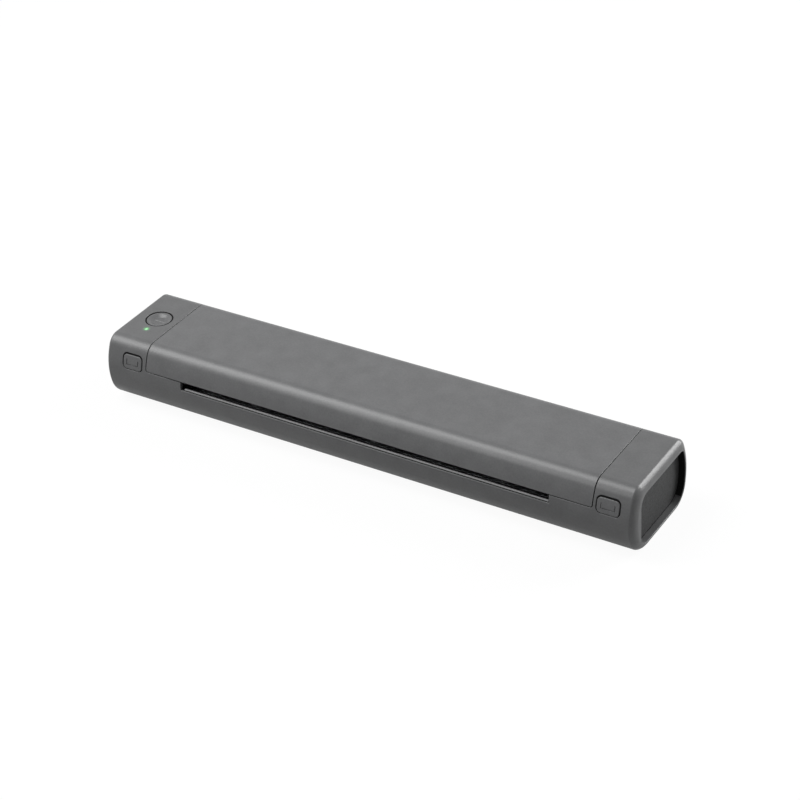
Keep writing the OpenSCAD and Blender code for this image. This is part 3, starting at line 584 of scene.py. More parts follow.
@dataclass
class Skin:
    """An open sheet of triangles with the normal and the thickness at each point."""

    points: np.ndarray
    normals: np.ndarray
    thickness: np.ndarray
    triangles: np.ndarray
    inner_shift: np.ndarray | None = None
    flat: np.ndarray | None = None
    rounding: np.ndarray | None = None

    def joined(self, other: "Skin") -> "Skin":
        """This skin and another as one, with equal points shared.

        Args:
            other: The other skin.

        Returns:
            The joined skin.
        """
        merged = Skin(
            np.vstack([self.points, other.points]),
            np.vstack([self.normals, other.normals]),
            np.concatenate([self.thickness, other.thickness]),
            np.vstack([self.triangles, other.triangles + len(self.points)]),
        )
        return merged.welded()

    def welded(self, step: float = 1e-6) -> "Skin":
        """The same skin with points that coincide shared.

        Args:
            step: How fine the points are compared, in metres.

        Returns:
            The welded skin.
        """
        keys = np.round(self.points / step).astype(np.int64)
        _, first, inverse = np.unique(keys, axis=0, return_index=True, return_inverse=True)
        inverse = inverse.reshape(-1)
        triangles = inverse[self.triangles]
        whole = (
            (triangles[:, 0] != triangles[:, 1])
            & (triangles[:, 1] != triangles[:, 2])
            & (triangles[:, 2] != triangles[:, 0])
        )
        shift = None if self.inner_shift is None else self.inner_shift[first]
        return Skin(
            self.points[first],
            self.normals[first],
            self.thickness[first],
            triangles[whole],
            shift,
        )

    def rim_edges(self) -> np.ndarray:
        """The edges with a triangle on one side only, with that triangle on their left."""
        sides = np.vstack([self.triangles[:, ends] for ends in ([0, 1], [1, 2], [2, 0])])
        count = len(self.points)
        forward = sides[:, 0] * count + sides[:, 1]
        backward = sides[:, 1] * count + sides[:, 0]
        return sides[~np.isin(forward, backward)]

    def solid(self, name: str, edge_round: float, steps: int = 3) -> bpy.types.Object:
        """Gives the sheet its thickness, with rounded outer edges.

        The sheet's rim is where the rounding starts, so the piece ends edge_round further out.

        Args:
            name: The piece's name.
            edge_round: Radius of the outer edges.
            steps: How many strips round an edge.

        Returns:
            The object.
        """
        rim = self.rim_edges()
        run = self.points[rim[:, 1]] - self.points[rim[:, 0]]
        run /= np.linalg.norm(run, axis=1, keepdims=True)
        count = len(self.points)
        outward = np.zeros((count, 3))
        before = np.zeros((count, 3))
        away_start = np.cross(run, self.normals[rim[:, 0]])
        away_end = np.cross(run, self.normals[rim[:, 1]])
        outward[rim[:, 0]] += away_start
        outward[rim[:, 1]] += away_end
        before[rim[:, 1]] = away_end
        after = np.zeros((count, 3))
        after[rim[:, 0]] = away_start
        turn = 1 + np.einsum("ij,ij->i", before, after)
        verts = np.unique(rim)
        reach = outward[verts] / np.maximum(turn[verts], 0.7)[:, None]
        facing = reach / np.linalg.norm(reach, axis=1, keepdims=True)
        base, normal = self.points[verts], self.normals[verts]
        radius = np.full((len(verts), 1), edge_round)
        if self.rounding is not None:
            radius = self.rounding[verts][:, None]
        ring_of = np.full(count, -1)
        ring_of[verts] = np.arange(len(verts))

        points = [self.points]
        rings = [verts]
        ring_normals = [normal]
        total = count
        for step in range(1, steps + 1):
            angle = QUARTER_TURN * step / steps
            sideways, down = math.sin(angle) * radius, (1 - math.cos(angle)) * radius
            points.append(base + reach * sideways - normal * down)
            ring_normals.append(normal * math.cos(angle) + facing * math.sin(angle))
            rings.append(total + np.arange(len(verts)))
            total += len(verts)
        inner = self.points - self.normals * self.thickness[:, None]
        if self.inner_shift is not None:
            inner = inner + self.inner_shift
        points.append(inner[verts] + reach * radius)
        rings.append(total + np.arange(len(verts)))
        ring_normals.append(facing)
        total += len(verts)
        points.append(inner)
        inner_start = total

        faces = self.triangles.tolist()
        corners = [self.normals[self.triangles].reshape(-1, 3)]
        start, end = ring_of[rim[:, 0]], ring_of[rim[:, 1]]
        for near in range(len(rings) - 1):
            a, b = rings[near], rings[near + 1]
            quads = np.stack([a[start], b[start], b[end], a[end]], axis=1)
            faces += quads.tolist()
            na, nb = ring_normals[near], ring_normals[near + 1]
            turned_quads = np.stack([na[start], nb[start], nb[end], na[end]], axis=1)
            corners.append(turned_quads.reshape(-1, 3))
        last, floor = rings[-1], inner_start + rim
        quads = np.stack([last[start], floor[:, 0], floor[:, 1], last[end]], axis=1)
        faces += quads.tolist()
        back = -normal
        back_quads = np.stack([back[start], back[start], back[end], back[end]], axis=1)
        corners.append(back_quads.reshape(-1, 3))
        faces += (self.triangles[:, ::-1] + inner_start).tolist()
        corners.append(-self.normals[self.triangles[:, ::-1]].reshape(-1, 3))
        return finish_mesh(name, np.vstack(points), faces, np.vstack(corners))


def in_loop(loop: Loop, at: np.ndarray) -> np.ndarray:
    """Which points lie inside a closed loop.

    Args:
        loop: The loop's corners.
        at: The points.

    Returns:
        True for each point inside.
    """
    inside = np.zeros(len(at), bool)
    x, y = at[:, 0], at[:, 1]
    for (x0, y0), (x1, y1) in zip(loop, np.roll(loop, -1, axis=0)):
        if y0 == y1:
            continue
        crosses = (y0 > y) != (y1 > y)
        inside ^= crosses & (x < (x1 - x0) * (y - y0) / (y1 - y0) + x0)
    return inside


def triangulate(
    outlines: Sequence[Loop],
    holes: Sequence[Loop],
    lines: Sequence[Loop] = (),
) -> tuple[np.ndarray, np.ndarray]:
    """Fills outlines, less holes, with triangles that keep to the given lines.

    Args:
        outlines: Closed loops to fill.
        holes: Closed loops to leave open.
        lines: Open lines that triangles don't cross.

    Returns:
        The points and the triangles, counterclockwise.
    """
    points: list[Vector] = []
    edges: list[tuple[int, int]] = []
    for line, closed in [(x, True) for x in [*outlines, *holes]] + [(x, False) for x in lines]:
        start = len(points)
        points += [Vector((p[0] / MM, p[1] / MM)) for p in line]
        edges += [(start + i, start + i + 1) for i in range(len(line) - 1)]
        if closed:
            edges.append((start + len(line) - 1, start))
    verts, _, faces, *_ = delaunay_2d_cdt(points, edges, [], 0, 1e-4, False)
    flat = np.array([(v.x, v.y) for v in verts]) * MM
    triangles = np.array([f for f in faces if len(f) == 3], int)
    middle = flat[triangles].mean(axis=1)
    kept = np.zeros(len(triangles), bool)
    for loop in outlines:
        kept |= in_loop(loop, middle)
    for loop in holes:
        kept &= ~in_loop(loop, middle)
    triangles = triangles[kept]
    used, inverse = np.unique(triangles, return_inverse=True)
    return flat[used], inverse.reshape(-1, 3)


def rounded_loop(
    centre: tuple[float, float], width: float, height: float, radius: float, steps: int = 7
) -> Loop:
    """A rectangle with rounded corners, counterclockwise.

    Args:
        centre: Its centre.
        width: Its width.
        height: Its height.
        radius: Radius of its corners.
        steps: Segments in each corner.

    Returns:
        The loop.
    """
    loop = []
    for quarter, (sx, sy) in enumerate([(1, 1), (-1, 1), (-1, -1), (1, -1)]):
        cx = centre[0] + sx * (width / 2 - radius)
        cy = centre[1] + sy * (height / 2 - radius)
        for step in range(steps + 1):
            angle = QUARTER_TURN * (quarter + step / steps)
            loop.append((cx + radius * math.cos(angle), cy + radius * math.sin(angle)))
    return np.array(loop)


def circle_loop(centre: tuple[float, float], radius: float, steps: int = 64) -> Loop:
    """A circle as a closed loop.

    Args:
        centre: Its centre.
        radius: Its radius.
        steps: How many corners it has.

    Returns:
        The loop.
    """
    angles = np.arange(steps) * 2 * HALF_TURN / steps
    x, y = centre[0] + radius * np.cos(angles), centre[1] + radius * np.sin(angles)
    return np.stack([x, y], axis=1)


def box_loop(x0: float, x1: float, y0: float, y1: float) -> Loop:
    """A rectangle as a closed loop."""
    return np.array([(x0, y0), (x1, y0), (x1, y1), (x0, y1)])


def flat_skin(
    outlines: Sequence[Loop],
    holes: Sequence[Loop],
    axis: Axis,
    at: float,
    way: int,
    thickness: float,
    lines: Sequence[Loop] = (),
) -> Skin:
    """A flat sheet across one axis.

    Args:
        outlines: Loops to fill, on the other two axes in their order.
        holes: Loops to leave open.
        axis: The axis that it lies across.
        at: Its place along that axis.
        way: 1 if it faces along the axis, -1 if against it.
        thickness: How thick the solid will be.
        lines: Lines that triangles keep to.

    Returns:
        The skin.
    """
    flat, triangles = triangulate(outlines, holes, lines)
    order = axis.flat_order()
    points = np.zeros((len(flat), 3))
    points[:, order[0]], points[:, order[1]], points[:, order[2]] = flat[:, 0], flat[:, 1], at
    normal = np.zeros(3)
    normal[order[2]] = way
    a, b, c = points[triangles[0]]
    if np.dot(np.cross(b - a, c - a), normal) < 0:
        triangles = triangles[:, ::-1]
    count = len(flat)
    return Skin(points, np.tile(normal, (count, 1)), np.full(count, thickness), triangles)


def prism(
    name: str,
    profile: Sequence[tuple[float, float]],
    axis: Axis,
    low: float,
    high: float,
    edge_round: float = 0.15 * MM,
) -> bpy.types.Object:
    """A profile drawn out along an axis, with its edges rounded.

    Args:
        name: The piece's name.
        profile: Its corners on the other two axes in their order.
        axis: The axis that it runs along.
        low: Where it starts.
        high: Where it ends.
        edge_round: Radius of its edges.

    Returns:
        The object.
    """
    order = axis.flat_order()
    count = len(profile)
    points = np.zeros((2 * count, 3))
    for end, at in enumerate((low, high)):
        block = slice(end * count, (end + 1) * count)
        points[block, order[0]] = [p[0] for p in profile]
        points[block, order[1]] = [p[1] for p in profile]
        points[block, order[2]] = at
    faces = [list(range(count))[::-1], [count + i for i in range(count)]]
    faces += [[i, (i + 1) % count, count + (i + 1) % count, count + i] for i in range(count)]
    made = finish_mesh(name, points, faces)
    square_up(made)
    soften(made, edge_round)
    return made


def square_up(piece: bpy.types.Object) -> None:
    """Turns all faces of a closed piece outward.

    Args:
        piece: The piece.
    """
    work = bmesh.new()
    work.from_mesh(piece.data)
    bmesh.ops.recalc_face_normals(work, faces=work.faces)
    work.to_mesh(piece.data)
    work.free()


def soften(piece: bpy.types.Object, edge_round: float, limit: float = 0.7) -> None:
    """Rounds the sharp edges of a piece and keeps its flat faces flat.

    Args:
        piece: The piece.
        edge_round: Radius of the rounding.
        limit: Edges that turn by more than this are rounded, in radians.
    """
    if edge_round > 0:
        bevel = piece.modifiers.new("edge_round", "BEVEL")
        bevel.width, bevel.segments = edge_round, 2
        bevel.limit_method, bevel.angle_limit = "ANGLE", limit
        bevel.harden_normals = True


def joined(name: str, parts: Sequence[bpy.types.Object]) -> bpy.types.Object:
    """Joins parts, with their modifiers applied, into one piece.

    Args:
        name: The piece's name.
        parts: The parts, which are used up.

    Returns:
        The joined piece.
    """
    graph = bpy.context.evaluated_depsgraph_get()
    points, faces, normals, start = [], [], [], 0
    for part in parts:
        mesh = part.evaluated_get(graph).to_mesh()
        points += [tuple(part.matrix_world @ v.co) for v in mesh.vertices]
        faces += [[start + i for i in face.vertices] for face in mesh.polygons]
        normals += [tuple(n.vector) for n in mesh.corner_normals]
        start += len(mesh.vertices)
    for part in parts:
        bpy.data.objects.remove(part)
    return finish_mesh(name, np.array(points), faces, np.array(normals))


def turned(
    name: str,
    profile: Sequence[tuple[float, float]],
    at: Vector,
    axis: Axis,
    steps: int = 64,
) -> bpy.types.Object:
    """A profile turned round an axis.

    Args:
        name: The piece's name.
        profile: Pairs of radius and place along the axis, closed by its ends on the axis.
        at: A point on the axis.
        axis: The axis.
        steps: Segments round it.

    Returns:
        The object.
    """
    order = axis.turn_order()
    points, faces = [], []
    count = len(profile)
    for step in range(steps):
        angle = 2 * HALF_TURN * step / steps
        for radius, along in profile:
            point = [0.0, 0.0, 0.0]
            point[order[0]] = at[order[0]] + radius * math.cos(angle)
            point[order[1]] = at[order[1]] + radius * math.sin(angle)
            point[order[2]] = at[order[2]] + along
            points.append(point)
    for step in range(steps):
        here, there = step * count, (step + 1) % steps * count
        for i in range(count - 1):
            faces.append([here + i, here + i + 1, there + i + 1, there + i])
    made = finish_mesh(name, np.array(points), faces)
    weld = made.modifiers.new("weld", "WELD")
    weld.merge_threshold = 0.001 * MM
    whole = joined(name, [made])
    square_up(whole)
    return whole


def coil(
    name: str,
    start: Vector,
    axis: Axis,
    length: float,
    radius: float,
    wire: float,
    turns: float,
) -> bpy.types.Object:
    """A helical spring of round wire.

    Args:
        name: The piece's name.
        start: Middle of its first end.
        axis: The axis that it runs along.
        length: Its length over the wire.
        radius: Radius of the coil, at the middle of the wire.
        wire: Radius of the wire.
        turns: How many turns it has.

    Returns:
        The object.
    """
    order = axis.turn_order()
    steps, sides = int(turns * 28), 10
    points, faces = [], []
    for step in range(steps + 1):
        angle = 2 * HALF_TURN * turns * step / steps
        along = wire + (length - 2 * wire) * step / steps
        for side in range(sides):
            slope = 2 * HALF_TURN * side / sides
            out = radius + wire * math.cos(slope)
            point = [0.0, 0.0, 0.0]
            point[order[0]] = start[order[0]] + out * math.cos(angle)
            point[order[1]] = start[order[1]] + out * math.sin(angle)
            point[order[2]] = start[order[2]] + along + wire * math.sin(slope)
            points.append(point)
    for step in range(steps):
        for side in range(sides):
            a, b = step * sides + side, step * sides + (side + 1) % sides
            faces.append([a, b, b + sides, a + sides])
    faces += [list(range(sides))[::-1], [steps * sides + i for i in range(sides)]]
    made = finish_mesh(name, np.array(points), faces)
    square_up(made)
    return made


# --- The body's shape -----------------------------------------------------------


@dataclass(frozen=True)
class SideShape:
    """Radii of one long side of the body."""

    bulge: float
    top: float
    low: float


@dataclass(frozen=True)
class BodySize:
    """Sizes that the body's section and ends are worked out from."""

    front: SideShape = SideShape(32 * MM, 8 * MM, 15 * MM)
    rear: SideShape = SideShape(40 * MM, 5.5 * MM, 13 * MM)
    wall: float = 2.2 * MM
    end_round: float = 2.9 * MM
    rim_shape: float = 1.75
    rim_width: tuple[float, float] = (3.3 * MM, 5.2 * MM)
    rim_depth: float = 3.5 * MM
    half_length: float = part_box("main_housing")[1].x
    half_depth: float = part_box("main_housing")[1].y
    low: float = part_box("main_housing")[0].z
    top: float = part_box("main_housing")[1].z


class BodySection:
    """The body's outline across its length.

    u is the length along it from the middle of the bottom, up the front, over the top and down
    the rear.
    """

    def __init__(self, size: BodySize) -> None:
        """Works out the outline.

        Args:
            size: The body's sizes.
        """
        self.size = size
        front, front_marks = self._side(size.front)
        rear, rear_marks = self._side(size.rear)
        rear = rear[::-1] * np.array([-1, 1, -1, 1])
        ends = np.array([(0, size.low, 0, -1.0)])
        table = np.vstack([ends, front, rear, ends])
        steps = np.hypot(*np.diff(table[:, :2], axis=0).T)
        self.u = np.concatenate([[0], np.cumsum(steps)])
        self.table = table
        self.around = float(self.u[-1])
        self.front_span = slice(1, 1 + len(front))
        self.rear_span = slice(1 + len(front), 1 + len(front) + len(rear))
        marks = [1 + m for m in front_marks] + [len(table) - 2 - m for m in rear_marks]
        self.marks = np.sort(self.u[marks])

    def _side(self, shape: SideShape) -> tuple[np.ndarray, list[int]]:
        """Points and normals of the front side, from the bottom up.

        Args:
            shape: The side's radii.

        Returns:
            Rows of Y, Z and the normal, and the rows where arcs meet.
        """
        size = self.size
        middle = (size.low + size.top) / 2
        rise = size.top - shape.top - middle
        drop = middle - size.low - shape.low
        top_lean = math.degrees(math.asin(rise / (shape.bulge - shape.top)))
        low_lean = math.degrees(math.asin(drop / (shape.bulge - shape.low)))

        def corner(radius: float, height: float) -> float:
            """Y of a corner arc's centre."""
            reach = math.sqrt((shape.bulge - radius) ** 2 - height**2)
            return shape.bulge - size.half_depth - reach

        arcs = [
            (corner(shape.low, drop), middle - drop, shape.low, 270, 180 + low_lean),
            (shape.bulge - size.half_depth, middle, shape.bulge, 180 + low_lean, 180 - top_lean),
            (corner(shape.top, rise), middle + rise, shape.top, 180 - top_lean, 90),
        ]
        rows, marks = [], [0]
        for y, z, radius, first, last in arcs:
            fresh = 1 if rows else 0
            for angle in np.radians(np.linspace(first, last, ARC_SAMPLES)[fresh:]):
                away = (math.cos(angle), math.sin(angle))
                rows.append((y + radius * away[0], z + radius * away[1], *away))
            marks.append(len(rows) - 1)
        return np.array(rows), marks

    def at(self, u: np.ndarray) -> np.ndarray:
        """Places on the outline.

        Args:
            u: Their lengths along it.

        Returns:
            Rows of Y, Z and the normal.
        """
        rows = np.stack([np.interp(u, self.u, column) for column in self.table.T], axis=1)
        rows[:, 2:] /= np.linalg.norm(rows[:, 2:], axis=1, keepdims=True)
        return rows

    def front_u(self, z: np.ndarray | float) -> np.ndarray:
        """u on the front at a height."""
        return np.interp(z, self.table[self.front_span, 1], self.u[self.front_span])

    def rear_u(self, z: np.ndarray | float) -> np.ndarray:
        """u on the rear at a height."""
        span = self.rear_span
        return np.interp(z, self.table[span, 1][::-1], self.u[span][::-1])

    def top_u(self, y: np.ndarray | float) -> np.ndarray:
        """u on the flat top at a depth."""
        last, first = self.front_span.stop - 1, self.rear_span.start
        return np.interp(y, self.table[[last, first], 0], self.u[[last, first]])

    def rows(self, arc_steps: int = 14, flat_step: float = 7 * MM) -> np.ndarray:
        """u of the mesh's rows, close on the arcs and wide on the flats.

        Args:
            arc_steps: Rows on an arc.
            flat_step: Distance of rows on a flat.

        Returns:
            The rows' u, from 0 to the whole way round.
        """
        stops = [0.0, *self.marks, self.around]
        nudge, straight = 0.001 * MM, 0.999
        rows = []
        for first, last in zip(stops, stops[1:]):
            spread = self.at(np.array([first + nudge, last - nudge]))[:, 2:]
            bent = np.dot(spread[0], spread[1]) < straight
            count = arc_steps if bent else max(1, round((last - first) / flat_step))
            rows += list(np.linspace(first, last, count + 1)[:-1])
        return np.array([*rows, self.around])

    def loop(self, inset: float) -> Loop:
        """The outline in Y and Z, drawn in by inset."""
        rows = self.at(self.rows()[:-1])
        return rows[:, :2] - rows[:, 2:] * inset

    def rear_edge(self, centre: tuple[float, float], radius: float, inset: float = 0) -> float:
        """u where a circle crosses the upper rear of the outline.

        Args:
            centre: Y and Z of the circle's centre.
            radius: Its radius.
            inset: How far the outline is drawn in.

        Returns:
            The crossing's u.
        """
        u = np.linspace(self.rear_u(self.size.top), self.rear_u(centre[1]), EDGE_SAMPLES)
        rows = self.at(u)
        points = rows[:, :2] - rows[:, 2:] * inset
        reach = np.hypot(points[:, 0] - centre[0], points[:, 1] - centre[1])
        return float(u[np.argmax(reach < radius)])


class BodySurface:
    """The body's outer skin. w runs along its length and on round the end rims."""

    def __init__(self, section: BodySection, rim_steps: int = 12) -> None:
        """Works out where the rims start.

        Args:
            section: The body's section.
            rim_steps: Strips round a rim.
        """
        self.section = section
        self.size = section.size
        self.straight = self.size.half_length - self.size.end_round
        self.reach = self.straight + self.size.end_round * QUARTER_TURN
        self.rim_columns = np.linspace(self.straight, self.reach, rim_steps + 1)

    def rim_width(self, rows: np.ndarray) -> np.ndarray:
        """How wide the rim's rounding is, seen from the end: wider in front and on top.

        Args:
            rows: Y, Z and the normal at each place round the section.

        Returns:
            The widths.
        """
        narrow, wide = self.size.rim_width
        share = np.clip(rows[:, 3], 0, 1) ** 2 + np.clip(-rows[:, 2], 0, 1) ** 2
        return narrow + (wide - narrow) * share

    def end_loop(self) -> Loop:
        """The outline of the flat of an end, in Y and Z."""
        rows = self.section.at(self.section.rows()[:-1])
        return rows[:, :2] - rows[:, 2:] * self.rim_width(rows)[:, None]

    def place(self, flat: np.ndarray, sink: float = 0) -> tuple[np.ndarray, np.ndarray]:
        """Points and normals of places on the skin.

        Args:
            flat: Rows of w and u.
            sink: How far below the skin.

        Returns:
            The points and their normals.
        """
        w, rows = flat[:, 0], self.section.at(flat[:, 1])
        angle = np.clip((np.abs(w) - self.straight) / self.size.end_round, 0, QUARTER_TURN)
        side, power = np.sign(w), 2 / self.size.rim_shape
        sine, cosine = np.sin(angle), np.maximum(np.cos(angle), 0)
        run, wide = self.size.end_round * sine**power, self.rim_width(rows)
        x = side * (np.minimum(np.abs(w), self.straight) + run)
        cut = wide * (1 - cosine**power) + sink * cosine
        points = np.stack([x, rows[:, 0] - rows[:, 2] * cut, rows[:, 1] - rows[:, 3] * cut], axis=1)
        along, across = wide * sine ** (2 - power), self.size.end_round * cosine ** (2 - power)
        normals = np.stack([side * along, rows[:, 2] * across, rows[:, 3] * across], axis=1)
        return points, normals / np.linalg.norm(normals, axis=1, keepdims=True)

    def lines(self, low: float, high: float, step: float = 16 * MM) -> list[Loop]:
        """Rows and columns that triangles keep to.

        Args:
            low: Lowest w.
            high: Highest w.
            step: Distance of the columns.

        Returns:
            The lines in w and u.
        """
        around = self.section.around
        found = [np.array([(low, u), (high, u)]) for u in self.section.rows()]
        columns = list(np.arange(-self.straight, self.straight, step)[1:])
        columns += [s * c for s in (-1, 1) for c in self.rim_columns]
        found += [np.array([(w, 0), (w, around)]) for w in columns if low < w < high]
        return found

    def skin(
        self,
        outlines: Sequence[Loop],
        holes: Sequence[Loop],
        thickness: float,
        sink: float = 0,
        lines: Sequence[Loop] | None = None,
    ) -> Skin:
        """The part of the skin inside outlines and outside holes, all in w and u.

        Args:
            outlines: Loops to fill.
            holes: Loops to leave open.
            thickness: How thick the wall is.
            sink: How far below the outer skin it lies.
            lines: Lines that triangles keep to, or None for the body's own.

        Returns:
            The skin.
        """
        corners = np.vstack(list(outlines))
        if lines is None:
            lines = self.lines(corners[:, 0].min(), corners[:, 0].max())
        flat, triangles = triangulate(outlines, holes, lines)
        points, normals = self.place(flat, sink)
        a, b, c = (points[triangles[:, i]] for i in range(3))
        ways = np.einsum("ij,ij->i", np.cross(b - a, c - a), normals[triangles[:, 0]])
        triangles = np.where((ways < 0)[:, None], triangles[:, ::-1], triangles)
        made = Skin(points, normals, np.full(len(points), thickness), triangles)
        made.flat = flat
        return made


@dataclass(frozen=True)
class Openings:
    """Places of the openings and seams, as the frame has them."""

    bay_left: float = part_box("cover_shell")[0].x - 0.2 * MM
    bay_right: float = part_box("cover_shell")[1].x + 0.2 * MM
    split: float = 25.6 * MM
    seam: float = 0.4 * MM
    corner: float = 1.5 * MM
    corner_points: int = 12
    slot_left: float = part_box("tear_bar")[0].x - 2.5 * MM
    slot_right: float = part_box("tear_bar")[1].x + 0.2 * MM
    slot_low: float = 20.8 * MM
    slot_foot: float = 15.95 * MM
    slot_wall: float = 1.2 * MM
    inlet_low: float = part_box("lower_paper_guide")[1].z - 0.5 * MM
    hinge: tuple[float, float] = (24 * MM, 21 * MM)
    housing_sweep: float = 7.5 * MM
    cover_sweep: float = 7.9 * MM
    arm_width: float = 6 * MM
    arm_inset: float = 1 * MM
    arm_gap: float = 0.5 * MM
    notch_low: float = 18.4 * MM

    def arms(self) -> tuple[float, float]:
        """X of the two hinge arms' left sides."""
        return self.bay_left + self.arm_inset, self.bay_right - self.arm_inset - self.arm_width

    def front_loop(self, section: BodySection, grow: float, low: float, top_u: float) -> Loop:
        """The cover's outline in w and u, with its lower front corners rounded.

        Args:
            section: The body's section.
            grow: How far outside the bay's sides the outline lies.
            low: Height of its front edge.
            top_u: u of its rear edge.

        Returns:
            The loop.
        """
        left, right = self.bay_left - grow, self.bay_right + grow
        radius = self.corner + grow
        loop = []
        for centre, first in ((left + radius, 180), (right - radius, 270)):
            for degrees in np.linspace(first, first + 90, self.corner_points):
                angle = math.radians(degrees)
                x = centre + radius * math.cos(angle)
                z = low + radius + radius * math.sin(angle)
                loop.append((x, float(section.front_u(z))))
        return np.array([*loop, (right, top_u), (left, top_u)])


@dataclass
class Housing:
    """The sleeve with its two end blocks, and the walls inside it."""

    surface: BodySurface
    openings: Openings
    finish: bpy.types.Material
    painted_shade_finish: bpy.types.Material
    edge: float = 0.22 * MM
    button_gap: float = 0.3 * MM
    light_gap: float = 0.05 * MM
    button_corner: float = 2.4 * MM
    bulkhead: float = 2 * MM
    bulkhead_edge: float = 0.02 * MM
    overlap: float = 0.05 * MM
    bottom_clear: float = 0.2 * MM
    rim_margins: tuple[float, float, float, float] = (8.1 * MM, 3.6 * MM, 3.6 * MM, 5.4 * MM)
    rim_corner: float = 6.5 * MM
    rim_corner_steps: int = 14
    rim_flat: float = 0.12 * MM
    rim_turn_power: float = 12
    # Painted shade round each end panel: a black ring and a black strip up the recess's rear wall
    # stand in for the shadow there.
    shade_reach: float = 4.5 * MM
    shade_gap: float = 0.02 * MM
    shade_width: float = 0.4 * MM
    shade_lift: float = 0.08 * MM
    shade_thick: float = 0.14 * MM
    shade_wall: float = 0.16 * MM
    shade_stop: float = 0.45 * MM
    passage: tuple[float, float, float] = (-4 * MM, 12 * MM, 15 * MM)
    hook_window: tuple[float, float, float] = (0.1 * MM, 5.4 * MM, 1.5 * MM)
    ledge_front: float = 1.5 * MM
    ledge_top: float = 20.8 * MM
    ledge_gap: float = 0.2 * MM
    tabs: tuple[float, ...] = (-138 * MM, -80.35 * MM, 74 * MM, 138 * MM)
    tab_half: float = 3.5 * MM
    tab_ends: tuple[float, float] = (-8 * MM, 9.8 * MM)
    tab_edge: float = 0.3 * MM
    shelf: float = 1.2 * MM
    shelf_half: tuple[float, float] = (7 * MM, 4 * MM)
    stem_hole: float = 1.75 * MM
    web: float = 1.2 * MM
    web_half: float = 2.5 * MM
    web_drop: float = 4.5 * MM
    sliver: float = 0.1 * MM

    def build(self) -> None:
        """Builds the sleeve and the bulkheads."""
        shell = self._sleeve().solid("housing_sleeve", self.edge)
        self._dress(shell, self.finish, "housing_plastic")
        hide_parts("main_housing")
        inside = [self._bulkhead(-1), self._bulkhead(1), *self._supports()]
        walls = joined("housing_bulkheads", inside)
        self._dress(walls, self.finish, "housing_plastic")
        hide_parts("main_housing")
        # Black edges of painted shade round the two end panels.
        for side, name in ((-1, "left"), (1, "right")):
            self._dress(self._recess_seal(side, name), self.painted_shade_finish, "inner_plastic")

    def _dress(self, piece: bpy.types.Object, finish: bpy.types.Material, slot: str) -> None:
        """Gives a piece its finish and body.

        Args:
            piece: The piece.
            finish: Its material.
            slot: The record's slot. Not used.
        """
        piece.data.materials.append(finish)
        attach(piece, "base")

    def _holes(self) -> list[Loop]:
        """All openings of the sleeve, in w and u."""
        section, openings, edge = self.surface.section, self.openings, self.edge
        low_rear = section.rear_edge(openings.hinge, openings.housing_sweep) + edge
        over = float(section.front_u(openings.split + MM))
        over_rear = float(section.rear_u(openings.split + MM))
        left, right = openings.slot_left - edge, openings.slot_right + edge
        slot = box_loop(left, right, float(section.front_u(openings.slot_low - edge)), over)
        inlet = box_loop(left, right, over_rear, float(section.rear_u(openings.inlet_low - edge)))
        low_front = openings.split - openings.seam - edge
        holes = [openings.front_loop(section, edge, low_front, low_rear), slot, inlet]
        for arm in openings.arms():
            side = openings.arm_gap + edge
            low = float(section.rear_u(openings.notch_low - edge))
            holes.append(box_loop(arm - side, arm + openings.arm_width + side, over_rear, low))
        for node in ("left_release_button", "right_release_button"):
            holes.append(self._pocket(node))
        for node, gap in (("power_button", self.button_gap), ("status_light_pipe", self.light_gap)):
            holes.append(self._top_hole(node, gap))
        holes += self._bottom_holes()
        return holes

    def _pocket(self, node: str) -> Loop:
        """The hole round a release button.

        Args:
            node: The button's node.

        Returns:
            The loop in w and u.
        """
        low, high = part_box(node)
        grow = self.button_gap + self.edge
        centre = ((low.x + high.x) / 2, (low.z + high.z) / 2)
        width, height = high.x - low.x + 2 * grow, high.z - low.z + 2 * grow
        loop = rounded_loop(centre, width, height, self.button_corner + grow)
        return np.stack([loop[:, 0], self.surface.section.front_u(loop[:, 1])], axis=1)

    def _top_hole(self, node: str, gap: float) -> Loop:
        """The round hole for a part that comes through the top.

        Args:
            node: The part's node.
            gap: The gap round it.

        Returns:
            The loop in w and u.
        """
        low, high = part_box(node)
        radius = (high.x - low.x) / 2 if node == "power_button" else STATUS_LIGHT_RADIUS
        centre = ((low.x + high.x) / 2, (low.y + high.y) / 2)
        loop = circle_loop(centre, radius + gap + self.edge, 72)
        return np.stack([loop[:, 0], self.surface.section.top_u(loop[:, 1])], axis=1)

    def _bottom_holes(self) -> list[Loop]:
        """The opening for the bottom cover, on both sides of the bottom's middle."""
        low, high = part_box("bottom_cover")
        grow = self.bottom_clear + self.edge
        around = self.surface.section.around
        return [
            box_loop(low.x - grow, high.x + grow, -MM, grow - low.y),
            box_loop(low.x - grow, high.x + grow, around - high.y - grow, around + MM),
        ]

    def _recess(self, grow: float) -> Loop:
        """Outline of an end recess, flatter than the body's own.

        Args:
            grow: How far outside the recess's walls it lies.

        Returns:
            The loop in Y and Z.
        """
        size, (front, rear, low, high) = self.surface.size, self.rim_margins
        y0, y1 = front - size.half_depth, size.half_depth - rear
        z0, z1 = size.low + low, size.top - high
        width, height = y1 - y0 + 2 * grow, z1 - z0 + 2 * grow
        centre, radius = ((y0 + y1) / 2, (z0 + z1) / 2), self.rim_corner + grow
        loop = rounded_loop(centre, width, height, radius, self.rim_corner_steps)
        return self._kept_inside(loop, self.rim_flat + self.edge - grow)

